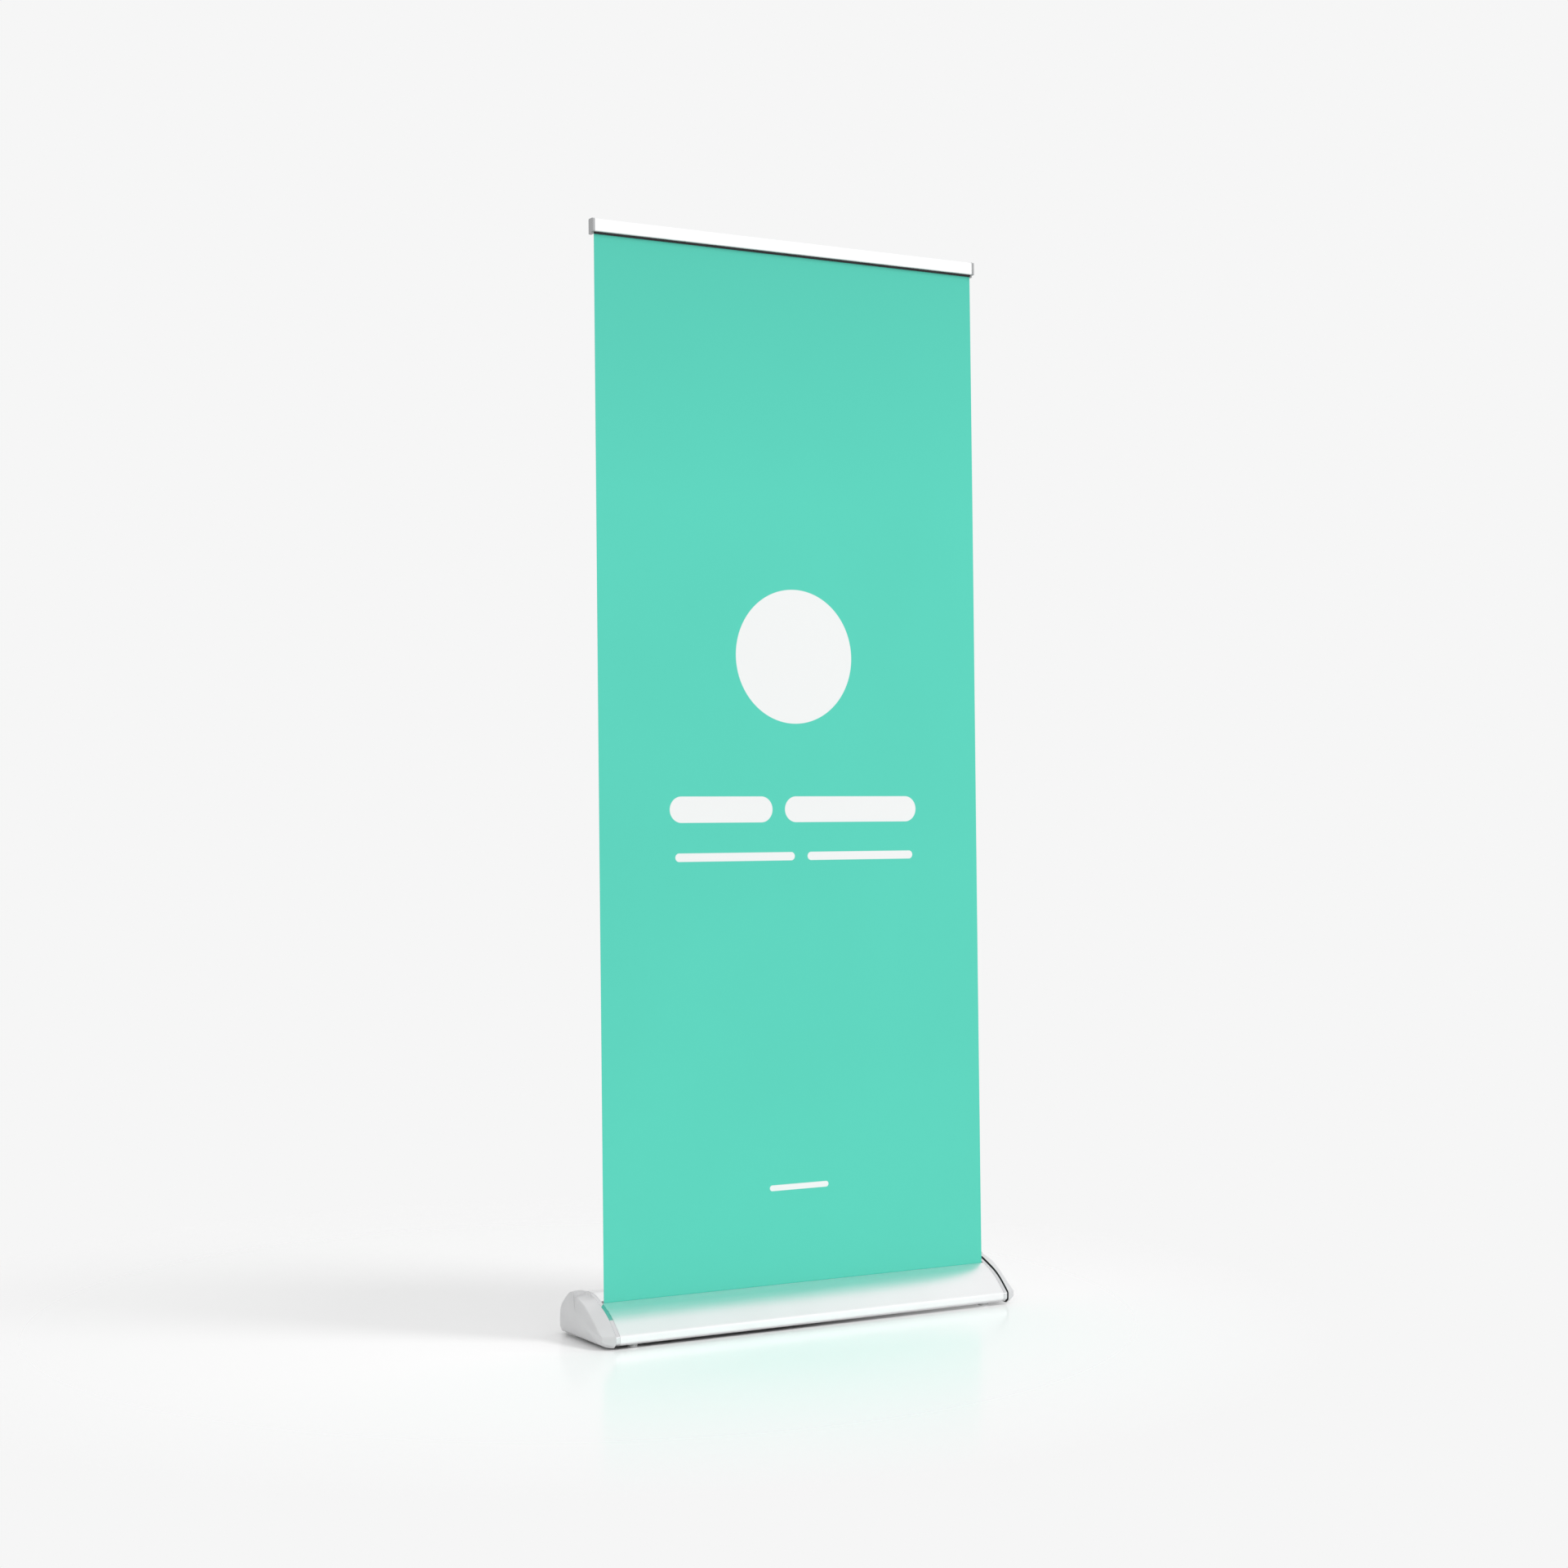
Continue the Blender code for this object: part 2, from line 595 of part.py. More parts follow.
def rail():
    rail_place = make_empty("rail_frame", (0.0, 0.0, rail_z), parent=lean_frame)
    face = banner_thickness / 2 + clearance
    leg_back = face + rail_wall
    pivot = (hinge_y, hinge_z)
    claw_in = hinge_bead + clearance
    claw_out = claw_in + claw_wall
    join = math.degrees(math.acos(min(1.0, (face - hinge_y) / claw_out)))
    back = [(face, -rail_skirt), (face, hinge_z - claw_out * math.sin(math.radians(join)))]
    back += arc(pivot, claw_out, -join, -150, 6)[1:]
    back += arc(pivot, claw_in, -150, 20, 8)
    back += [(face, rail_height), (rail_back, rail_height), (rail_back, rail_rear_leg),
             (rail_back - rail_wall, rail_rear_leg), (rail_back - rail_wall, rail_height - rail_wall),
             (leg_back, rail_height - rail_wall), (leg_back, -rail_skirt)]
    make_object("rail_back", prism([back], -rail_half, rail_half), "rail_white", rail_place, rotation=ALONG_X)

    jaw_axis = make_empty("jaw_axis", (0.0, hinge_y, hinge_z), parent=rail_place)
    lip_face = -(face + 0.0010)
    jaw = rounded([(rail_front, rail_height, 0.003), (rail_front, 0.0, 0.0015),
                   (lip_face, 0.0, 0.0), (lip_face, 0.003, 0.0), (rail_front + rail_wall, 0.003, 0.0),
                   (rail_front + rail_wall, rail_height - rail_wall, 0.0015)])
    jaw += [(hinge_y - hinge_bead * math.cos(math.radians(20)) - 0.0004, rail_height - rail_wall)]
    jaw += arc(pivot, hinge_bead, 150, 440, 12)
    top_back = hinge_y + hinge_bead * math.cos(math.radians(80))
    jaw += [(top_back, rail_height - jaw_relief), (top_back - jaw_relief, rail_height)]
    jaw_local = [(y - hinge_y, z - hinge_z) for y, z in jaw]
    make_object("rail_jaw", prism([jaw_local], -rail_half, rail_half), "rail_white", jaw_axis, rotation=ALONG_X)
    strip_back = -face
    strip = box((-rail_half, lip_face + clearance - hinge_y, 0.0004 - hinge_z),
                (rail_half, strip_back - hinge_y, 0.0026 - hinge_z))
    make_object("rail_grip_strip", strip, "black_rubber", jaw_axis)

    front, rear = rail_front - rail_cap_proud, rail_back + rail_cap_proud
    top, low = rail_height + rail_cap_proud, -rail_cap_proud
    skirt = -rail_skirt - rail_cap_proud / 2
    cap = rounded([(front, top, 0.003), (front, low, 0.002), (-face, low, 0.0), (-face, skirt, 0.001),
                   (rear, skirt, 0.002), (rear, top, 0.003)])
    for side, sign in (("left", -1), ("right", 1)):
        near = rail_half + clearance
        low_x, high_x = sorted((sign * near, sign * (near + rail_cap_length)))
        piece = make_object("rail_cap_" + side, prism([cap], low_x, high_x), "grey_plastic",
                            rail_place, rotation=ALONG_X)
        add_bevel(piece, 0.0012)


# ---------------------------------------------------------------- pole

def pole():
    pole_axis = make_empty("pole_axis", (0.0, pole_back, 0.0), parent=lean_frame)
    drop = (pole_back + socket_radius) * math.sin(lean)
    cup_low = (belly_inner + drop) / math.cos(lean) + clearance
    cup_floor = cup_low + socket_floor
    seat = (crown_top + (pole_back + socket_flange_radius) * math.sin(lean)) / math.cos(lean) + clearance
    flange_top = seat + socket_flange_height
    bore = lower_radius + clearance
    socket = [(0, cup_low), (socket_radius, cup_low), (socket_radius, seat), (socket_flange_radius, seat),
              (socket_flange_radius, flange_top - 0.001), (socket_flange_radius - 0.001, flange_top),
              (bore + 0.0008, flange_top), (bore, flange_top - 0.0008), (bore, cup_floor), (0, cup_floor)]
    make_object("pole_socket", turned(socket, 32), "black_plastic", pole_axis)

    plug_low = cup_floor + clearance
    foot = plug_low + 0.0026
    lower_inner = lower_radius - pole_wall
    make_object("pole_foot_plug",
                turned([(0, plug_low), (lower_radius, plug_low), (lower_radius, foot),
                        (lower_inner - clearance, foot), (lower_inner - clearance, foot + 0.012),
                        (0, foot + 0.012)]), "black_plastic", pole_axis)

    hook_low = rail_z + rail_rear_leg - clearance - hook_arm
    bottom = foot + clearance
    top = hook_low - clearance
    section = (top - bottom + 2 * section_overlap) / 3
    radius = lower_radius
    names = ("lower", "mid", "upper")
    for number, name in enumerate(names):
        low = bottom + number * (section - section_overlap)
        high = low + section
        inner = radius - pole_wall
        make_object("pole_" + name, tube(radius, inner, low, high), "satin_aluminium", pole_axis)
        if number:
            flange = radius + slide_gap - clearance
            plug = turned([(0, low - 0.0033), (flange, low - 0.0033), (flange, low - clearance),
                           (inner - clearance, low - clearance), (inner - clearance, low + 0.015),
                           (0, low + 0.015)])
            make_object("%s_end_plug" % name, plug, "black_plastic", pole_axis)
        if number < 2:
            lock_collar(name, radius, high, pole_axis)
        else:
            pole_hook(inner - clearance, hook_low, pole_axis)
        radius = inner - slide_gap


def lock_collar(name, radius, tube_end, pole_axis):
    """Clamp collar on a tube's end with its collet, pin and flip lever."""
    bore = radius + clearance
    outside = bore + collar_wall
    ear_in = lever_width / 2 + clearance
    ear_out = ear_in + ear_thickness
    pin_back = outside + 0.5 * ear_reach
    low, high = tube_end + collar_above - collar_height, tube_end + collar_above
    pin_height = tube_end - lever_pin_drop
    spread = math.degrees(math.asin(ear_in / outside))
    outer = arc((0, 0), outside, 90 + spread, 450 - spread, 24)
    collar = make_object("lock_collar_" + name, prism([outer, circle((0, 0), bore, 24)], low, high),
                         "black_plastic", pole_axis)
    for part, sign in (("a", -1), ("b", 1)):
        x_low, x_high = sorted((sign * ear_in, sign * ear_out))
        ear = box((x_low, bore + 0.4 * collar_wall, pin_height - ear_height / 2),
                  (x_high, outside + ear_reach, pin_height + ear_height / 2))
        add_boolean(collar, "ear_%s_%s" % (name, part), ear, "UNION", pole_axis)
    drill = rod(lever_pin_radius + clearance, -0.02, 0.02, 16)
    add_boolean(collar, "pin_cutter_" + name, drill, "DIFFERENCE", pole_axis, (0.0, pin_back, pin_height), ALONG_X)

    collet_in = radius - pole_wall - slide_gap + clearance
    collet = tube(radius, collet_in, tube_end + clearance, high)
    make_object("lock_collet_" + name, collet, "grey_plastic", pole_axis)

    hinge = make_empty("lever_axis_" + name, (0.0, pin_back, pin_height), parent=pole_axis)
    pin = rod(lever_pin_radius, -ear_out, ear_out, 12)
    make_object("lever_pin_" + name, pin, "steel", hinge, rotation=ALONG_X)
    half = lever_thickness / 2
    hub = arc((0, 0), lever_hub_radius, -60, 240, 12)
    handle = [(-half, -lever_length + 0.004), (0.3 * half, -lever_length), (half, -lever_length + 0.002)]
    hole = circle((0, 0), lever_pin_radius + clearance, 12)
    lever = prism([hub + handle, hole], -lever_width / 2, lever_width / 2)
    make_object("lock_lever_" + name, lever, "black_plastic", hinge, rotation=ALONG_X)


def pole_hook(plug_radius, low, pole_axis):
    """Plug in the pole's top with an arm under the rail and a tongue up inside it."""
    groove_front = banner_thickness / 2 + clearance + rail_wall + clearance
    groove_back = rail_back - rail_wall - clearance
    arm_top = low + hook_arm
    tongue_top = rail_z + rail_height - rail_wall - clearance
    back = lower_radius
    shape = [(groove_front - pole_back, low + 0.002), (groove_front - pole_back, tongue_top),
             (groove_back - pole_back, tongue_top), (groove_back - pole_back, arm_top),
             (back, arm_top), (back, low), (groove_front + 0.002 - pole_back, low)]
    shape = [(y, z) for y, z in reversed(shape)]
    hook = make_object("pole_hook", prism([shape], -hook_width / 2, hook_width / 2),
                       "black_plastic", pole_axis, rotation=ALONG_X)
    add_boolean(hook, "hook_plug", rod(plug_radius, low - 0.020, low + 0.003), "UNION", pole_axis)


cassette()
for side_name, direction in (("left", -1), ("right", 1)):
    end_plate(side_name, direction)
    end_cap(side_name, direction)
    feet(side_name, direction)
roller()
banner()
rail()
pole()
bpy.context.view_layer.update()
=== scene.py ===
"""Looks of the roll-up banner stand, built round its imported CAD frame.

Row frame: X runs along the base, the printed side faces -Y, +Z is up, lengths in metres.
Leaned frame: origin on the front lip of the banner slot, X as above, Y behind the banner and
Z up along it, leaning back with the pole.
"""

import json
import math

import bmesh
import bpy
import numpy as np
from mathutils import Matrix, Vector


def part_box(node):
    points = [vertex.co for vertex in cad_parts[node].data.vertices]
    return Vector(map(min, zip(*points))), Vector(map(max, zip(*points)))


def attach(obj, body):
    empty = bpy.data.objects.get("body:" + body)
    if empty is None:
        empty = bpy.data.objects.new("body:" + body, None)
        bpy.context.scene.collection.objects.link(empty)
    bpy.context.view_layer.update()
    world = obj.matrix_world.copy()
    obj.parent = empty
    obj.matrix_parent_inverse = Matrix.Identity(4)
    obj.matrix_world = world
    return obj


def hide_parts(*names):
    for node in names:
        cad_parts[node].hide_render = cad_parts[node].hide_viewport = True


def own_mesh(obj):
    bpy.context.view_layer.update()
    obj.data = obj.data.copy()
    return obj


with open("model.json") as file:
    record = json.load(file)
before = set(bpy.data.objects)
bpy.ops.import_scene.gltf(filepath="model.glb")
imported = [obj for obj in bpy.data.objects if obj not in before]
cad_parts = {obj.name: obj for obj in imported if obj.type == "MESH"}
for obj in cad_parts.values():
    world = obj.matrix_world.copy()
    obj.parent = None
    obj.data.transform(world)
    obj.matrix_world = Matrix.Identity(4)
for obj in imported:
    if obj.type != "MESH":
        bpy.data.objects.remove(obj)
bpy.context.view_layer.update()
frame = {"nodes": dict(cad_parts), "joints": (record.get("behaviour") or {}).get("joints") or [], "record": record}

# ---------------------------------------------------------------- camera

camera_data = bpy.data.cameras.new("camera")
camera_data.sensor_width = 36.0
camera_data.lens = 62.23
camera = bpy.data.objects.new("camera", camera_data)
camera.location = (-2.6893, -4.5364, 1.0280)
camera.rotation_euler = (math.radians(90.107), 0.0, math.radians(-30.4708))
bpy.context.scene.collection.objects.link(camera)
bpy.context.scene.camera = camera

# ---------------------------------------------------------------- sizes and places

slot_y = -0.028
lip_height = 0.072
pull = next(joint for joint in frame["joints"] if joint["name"] == "banner_pull")
pull_axis = Vector(pull["axis"])
lean = math.atan2(pull_axis.y, pull_axis.z)
leaned_frame = Matrix.Translation((0.0, slot_y, lip_height)) @ Matrix.Rotation(-lean, 4, "X")

clearance = 0.0003
wall = 0.0022
slot_front = -0.0012
slot_back = 0.0055
web_y = 0.0065
mid_web_y = 0.078
crown_top = 0.0147
belly = -0.066
nose_y = -0.0735
rear_y = 0.1295
crown_front = 0.037
crown_back = 0.070
slope_brow = (0.010, 0.0063)   # the front slope's highest corner, just behind the slot
slope_knee = (-0.038, -0.0145)
nose_top, nose_bottom = -0.0475, -0.0605
rear_shoulder, rear_foot = -0.022, -0.057
socket_rim = 0.003             # the pole socket's flange past its cup


def leaned_box(node):
    """Lowest and highest corner of a CAD node in the leaned frame."""
    to_leaned = leaned_frame.inverted()
    points = np.array([to_leaned @ vertex.co for vertex in frame["nodes"][node].data.vertices])
    return Vector(points.min(0)), Vector(points.max(0))


# ---------------------------------------------------------------- node helpers

def add_node(tree, kind, inputs=None, **settings):
    node = tree.nodes.new("ShaderNode" + kind)
    for name, value in settings.items():
        setattr(node, name, value)
    for name, value in (inputs or {}).items():
        if isinstance(value, bpy.types.NodeSocket):
            tree.links.new(value, node.inputs[name])
        else:
            node.inputs[name].default_value = value
    return node


def math_node(tree, operation, *values):
    node = add_node(tree, "Math", operation=operation)
    for socket, value in zip(node.inputs, values):
        if isinstance(value, bpy.types.NodeSocket):
            tree.links.new(value, socket)
        else:
            socket.default_value = value
    return node.outputs[0]


def new_material(name, colour, roughness, metallic=0.0, **sockets):
    """A Principled material; uniform numbers sit on the shader's own sockets."""
    material = bpy.data.materials.new(name)
    material.use_nodes = True
    shader = material.node_tree.nodes["Principled BSDF"]
    shader.inputs["Base Color"].default_value = (*colour, 1.0)
    shader.inputs["Roughness"].default_value = roughness
    shader.inputs["Metallic"].default_value = metallic
    for socket, value in sockets.items():
        shader.inputs[socket.replace("_", " ")].default_value = value
    material.diffuse_color = (*colour, 1.0)
    return material


def coordinates(tree, scale=(1.0, 1.0, 1.0)):
    source = add_node(tree, "TexCoord").outputs["Object"]
    return add_node(tree, "Mapping", {"Vector": source, "Scale": scale}).outputs["Vector"]


def noise(tree, scale, size=(1.0, 1.0, 1.0), detail=3.0):
    """Noise of a spatial frequency in 1/m, stretched by size."""
    inputs = {"Vector": coordinates(tree, size), "Scale": scale, "Detail": detail}
    return add_node(tree, "TexNoise", inputs).outputs["Fac"]


def ranged(tree, value, low, high, from_low=0.3, from_high=0.7):
    """A value in one range, limited to another: from_low gives low, and from_high gives high."""
    inputs = {"Value": value, "From Min": from_low, "From Max": from_high, "To Min": low, "To Max": high}
    return add_node(tree, "MapRange", inputs).outputs["Result"]


def shade_mix(tree, factor, dark, light):
    node = add_node(tree, "Mix", data_type="RGBA")
    tree.links.new(factor, node.inputs[0])
    node.inputs[6].default_value = (*dark, 1.0)
    node.inputs[7].default_value = (*light, 1.0)
    return node.outputs[2]


def mix_over(tree, factor, under, over):
    """A node's colour with a plain one laid over it by a factor."""
    node = add_node(tree, "Mix", data_type="RGBA")
    tree.links.new(factor, node.inputs[0])
    tree.links.new(under, node.inputs[6])
    node.inputs[7].default_value = (*over, 1.0)
    return node.outputs[2]


def plug(material, socket, value):
    shader = material.node_tree.nodes["Principled BSDF"]
    material.node_tree.links.new(value, shader.inputs[socket])


def add_bump(material, height, distance, strength=1.0):
    inputs = {"Height": height, "Distance": distance, "Strength": strength}
    plug(material, "Normal", add_node(material.node_tree, "Bump", inputs).outputs["Normal"])


def scaled(colour, factor):
    return tuple(channel * factor for channel in colour)


# ---------------------------------------------------------------- materials

def drawn_metal(name, colour, roughness, stretch, depth=0.00002):
    """Anodised extrusion: fine die lines along the profile, cloudy tone and roughness."""
    material = new_material(name, colour, roughness, 1.0)
    tree = material.node_tree
    lines = noise(tree, 900.0, stretch, 2.0)
    cloud = noise(tree, 9.0, detail=4.0)
    plug(material, "Base Color", shade_mix(tree, cloud, scaled(colour, 0.96), scaled(colour, 1.03)))
    plug(material, "Roughness", ranged(tree, lines, roughness - 0.05, roughness + 0.06))
    add_bump(material, lines, depth)
    return material


def moulded_plastic(name, colour, roughness, grain=2600.0, depth=0.00004, metallic=0.0):
    """Moulded plastic with a fine spark-eroded grain and faint tone variation."""
    material = new_material(name, colour, roughness, metallic)
    tree = material.node_tree
    texture = noise(tree, grain, detail=2.0)
    cloud = noise(tree, 22.0, detail=3.0)
    plug(material, "Base Color", shade_mix(tree, cloud, scaled(colour, 0.94), scaled(colour, 1.04)))
    plug(material, "Roughness", ranged(tree, texture, roughness - 0.06, roughness + 0.07))
    add_bump(material, texture, depth)
    return material


def polished_metal(name, colour, roughness):
    """Bright polished plate with faint hairlines."""
    material = new_material(name, colour, roughness, 1.0)
    tree = material.node_tree
    hairlines = noise(tree, 1500.0, (1.0, 0.02, 1.0), 2.0)
    plug(material, "Roughness", ranged(tree, hairlines, roughness * 0.7, roughness * 1.5))
    add_bump(material, hairlines, 0.000004)
    return material


def coated_white(name):
    """White satin powder coat with a faint orange peel."""
    colour = (0.93, 0.935, 0.94)
    material = new_material(name, colour, 0.28, 0.0, Coat_Weight=0.25, Coat_Roughness=0.15)
    tree = material.node_tree
    peel = noise(tree, 700.0, detail=1.0)
    plug(material, "Roughness", ranged(tree, peel, 0.24, 0.34))
    add_bump(material, peel, 0.00001)
    return material


def plated_steel(name):
    colour = (0.60, 0.61, 0.63)
    material = new_material(name, colour, 0.28, 1.0)
    tree = material.node_tree
    cloud = noise(tree, 160.0, detail=3.0)
    plug(material, "Base Color", shade_mix(tree, cloud, scaled(colour, 0.85), scaled(colour, 1.08)))
    plug(material, "Roughness", ranged(tree, cloud, 0.2, 0.4))
    return material


TEAL = (0.091, 0.603, 0.468)
WHITE_INK = (0.82, 0.835, 0.83)
FILM_BACK = (0.80, 0.81, 0.81)

# Artwork in metres up from the slot and across from the middle: a disc and plain rounded bars,
# each bar as (left, right, height of its middle, thickness).
disc = (0.0015, 1.2137, 0.1303)
bars = [(-0.276, -0.051, 0.917, 0.050), (-0.023, 0.279, 0.917, 0.050),
        (-0.265, -0.002, 0.826, 0.016), (0.027, 0.270, 0.826, 0.016),
        (-0.066, 0.066, 0.187, 0.011)]
ink_edge = 0.0006              # softness of the print's edges


def ink_mask(tree, distance):
    """1 inside a shape and 0 outside, from its signed distance."""
    return ranged(tree, distance, 1.0, 0.0, -ink_edge, ink_edge)


def print_height(tree, point, anchor_up, top_up):
    """Height on the print of a point of the sheet. The print slides down into the slot as the sheet
    shortens: print_up is the point's own height at full extension, and what the whole sheet has
    lost at its top is added to the point's height now."""
    away = add_node(tree, "VectorMath", {0: point, 1: tuple(leaned_frame.translation)}, operation="SUBTRACT")
    along = add_node(tree, "VectorMath", {0: away.outputs["Vector"], 1: tuple(pull_axis)},
                     operation="DOT_PRODUCT").outputs["Value"]
    rest = add_node(tree, "Attribute", attribute_name="print_up").outputs["Fac"]
    from_anchor = math_node(tree, "SUBTRACT", along, anchor_up)
    rest_from_anchor = math_node(tree, "MAXIMUM", math_node(tree, "SUBTRACT", rest, anchor_up), 0.0001)
    lost = math_node(tree, "SUBTRACT", 1.0, math_node(tree, "DIVIDE", from_anchor, rest_from_anchor))
    return math_node(tree, "ADD", along, math_node(tree, "MULTIPLY", lost, top_up - anchor_up))


def printed_film(name, anchor_up, top_up):
    """Matt printed film: teal ground, white disc and bars, fine weave under the ink."""
    material = new_material(name, TEAL, 0.62, Specular_IOR_Level=0.3)
    tree = material.node_tree
    point = add_node(tree, "TexCoord").outputs["Object"]
    height = print_height(tree, point, anchor_up, top_up)
    across = add_node(tree, "SeparateXYZ", {"Vector": point}).outputs["X"]

    centre_x, centre_up, radius = disc
    offset_x = math_node(tree, "SUBTRACT", across, centre_x)
    offset_up = math_node(tree, "SUBTRACT", height, centre_up)
    spread = math_node(tree, "ADD", math_node(tree, "POWER", math_node(tree, "ABSOLUTE", offset_x), 2.0),
                       math_node(tree, "POWER", math_node(tree, "ABSOLUTE", offset_up), 2.0))
    ink = ink_mask(tree, math_node(tree, "SUBTRACT", math_node(tree, "SQRT", spread), radius))
    for left, right, middle, thickness in bars:
        half = thickness / 2
        reach = (right - left) / 2 - half
        along = math_node(tree, "ABSOLUTE", math_node(tree, "SUBTRACT", across, (left + right) / 2))
        past_end = math_node(tree, "MAXIMUM", math_node(tree, "SUBTRACT", along, reach), 0.0)
        off_line = math_node(tree, "ABSOLUTE", math_node(tree, "SUBTRACT", height, middle))
        spread = math_node(tree, "ADD", math_node(tree, "POWER", past_end, 2.0),
                           math_node(tree, "POWER", off_line, 2.0))
        bar = ink_mask(tree, math_node(tree, "SUBTRACT", math_node(tree, "SQRT", spread), half))
        ink = math_node(tree, "MAXIMUM", ink, bar)

    cloud = noise(tree, 3.0, detail=3.0)
    cloudy = shade_mix(tree, cloud, scaled(TEAL, 0.97), scaled(TEAL, 1.03))
    near_top = ranged(tree, height, 0.0, 1.0, top_up - 0.50, top_up)
    ground = mix_over(tree, near_top, cloudy, scaled(TEAL, 0.90))
    plug(material, "Base Color", mix_over(tree, ink, ground, WHITE_INK))
    weave = film_weave(tree)
    plug(material, "Roughness", ranged(tree, weave, 0.58, 0.68, 0.0, 1.0))
    add_bump(material, weave, 0.00003, 0.6)
    return material


def film_weave(tree):
    """Fine canvas grain: two crossed sets of threads 0.7 mm apart, broken up by noise."""
    threads = []
    for direction in ("X", "Z"):
        inputs = {"Vector": coordinates(tree), "Scale": 230.0, "Distortion": 0.6, "Detail": 1.0}
        wave = add_node(tree, "TexWave", inputs, wave_type="BANDS", bands_direction=direction)
        threads.append(wave.outputs["Fac"])
    crossed = math_node(tree, "MULTIPLY", threads[0], threads[1])
    return math_node(tree, "ADD", crossed, math_node(tree, "MULTIPLY", noise(tree, 900.0), 0.4))


def plain_film(name, colour):
    """Back of the film: light block-out coat with the same weave."""
    material = new_material(name, colour, 0.66, Specular_IOR_Level=0.3)
    tree = material.node_tree
    cloud = noise(tree, 2.5, detail=3.0)
    plug(material, "Base Color", shade_mix(tree, cloud, scaled(colour, 0.97), scaled(colour, 1.02)))
    weave = film_weave(tree)
    plug(material, "Roughness", ranged(tree, weave, 0.60, 0.72, 0.0, 1.0))
    add_bump(material, weave, 0.00003, 0.6)
    return material


banner_low, banner_high = leaned_box("banner_sheet")
ALONG_BASE = (0.004, 1.0, 1.0)
ALONG_POLE = (1.0, 1.0, 0.004)
MATERIAL = {
    "satin_aluminium": drawn_metal("satin aluminium", (0.92, 0.925, 0.93), 0.38, ALONG_BASE),
    "pole_aluminium": drawn_metal("pole aluminium", (0.80, 0.805, 0.81), 0.30, ALONG_POLE),
    "polished_trim": polished_metal("polished trim", (0.68, 0.69, 0.70), 0.06),
    "silver_plastic": moulded_plastic("silver plastic", (0.66, 0.665, 0.67), 0.38, metallic=0.35),
    "banner_print": printed_film("banner print", banner_low.z, banner_high.z),
    "banner_back": plain_film("banner back", FILM_BACK),
    "rail_white": coated_white("rail white"),
    "grey_plastic": moulded_plastic("grey plastic", (0.40, 0.405, 0.41), 0.45),
    "black_plastic": moulded_plastic("black plastic", (0.028, 0.028, 0.031), 0.45),
    "steel": plated_steel("plated steel"),
    "black_rubber": moulded_plastic("black rubber", (0.020, 0.020, 0.021), 0.80, 1800.0, 0.00008),
    "foot_plastic": moulded_plastic("foot plastic", (0.66, 0.67, 0.67), 0.45),
    "leader_film": plain_film("leader film", (0.78, 0.78, 0.75)),
}


# ---------------------------------------------------------------- outlines

ARC_STEP = math.radians(4)


def arc(centre, radius, start, end, steps):
    """Points on an arc from one angle to another, in degrees, both ends included."""
    angles = [math.radians(start + (end - start) * i / steps) for i in range(steps + 1)]
    return [(centre[0] + radius * math.cos(a), centre[1] + radius * math.sin(a)) for a in angles]


def circle(centre, radius, sides=48):
    return arc(centre, radius, 0.0, 360.0, sides)[:-1]


def rounded(corners):
    """Outline through corners (u, v, radius), each rounded by an arc that its edges have room for."""
    points = []
    for i, (u, v, radius) in enumerate(corners):
        here = Vector((u, v))
        before = Vector(corners[i - 1][:2]) - here
        after = Vector(corners[(i + 1) % len(corners)][:2]) - here
        half = before.angle(after) / 2
        reach = min(radius / math.tan(half), 0.48 * before.length, 0.48 * after.length)
        if reach < 1e-6:
            points.append((u, v))
            continue
        swing = math.pi - 2 * half
        steps = max(2, round(swing / ARC_STEP), round(swing * radius / 0.003))
        start = here + before.normalized() * reach
        end = here + after.normalized() * reach
        centre = here + (before.normalized() + after.normalized()).normalized() * (reach / math.cos(half))
        spoke = start - centre
        first = math.atan2(spoke.y, spoke.x)
        turn = math.remainder(math.atan2(*reversed(end - centre)) - first, 2 * math.pi)
        points += [(centre.x + spoke.length * math.cos(first + turn * k / steps),
                    centre.y + spoke.length * math.sin(first + turn * k / steps)) for k in range(steps + 1)]
    return points


def offset(points, distance):
    """Counter-clockwise outline moved outward by a distance, or inward by a negative one."""
    moved = []
    for i, point in enumerate(points):
        here = Vector(point)
        edge_in = (here - Vector(points[i - 1])).normalized()
        edge_out = (Vector(points[(i + 1) % len(points)]) - here).normalized()
        normal_in = Vector((edge_in.y, -edge_in.x))
        middle = (normal_in + Vector((edge_out.y, -edge_out.x))).normalized()
        moved.append(tuple(here + middle * (distance / middle.dot(normal_in))))
    return moved


def clipped(points, line_y, keep_behind):
    """The part of an outline on one side of an upright line."""
    side = 1.0 if keep_behind else -1.0
    kept = []
    for i, here in enumerate(points):
        before = points[i - 1]
        depth_before, depth_here = side * (before[0] - line_y), side * (here[0] - line_y)
        if (depth_before > 0) != (depth_here > 0):
            share = depth_before / (depth_before - depth_here)
            kept.append((line_y, before[1] + (here[1] - before[1]) * share))
        if depth_here > 0:
            kept.append(here)
    return kept


def base_outline():
    """Outside of the cassette in the slot's upright frame, counter-clockwise, with the slot filled in."""
    return rounded([
        (*slope_brow, 0.180),
        (*slope_knee, 0.180),
        (nose_y, nose_top, 0.006),
        (nose_y, nose_bottom, 0.004),
        (nose_y + 0.0065, belly, 0.003),
        (rear_y - 0.0085, belly, 0.004),
        (rear_y, rear_foot, 0.006),
        (rear_y, rear_shoulder, 0.028),
        (crown_back, crown_top, 0.045),
        (crown_front, crown_top, 0.025),
    ])


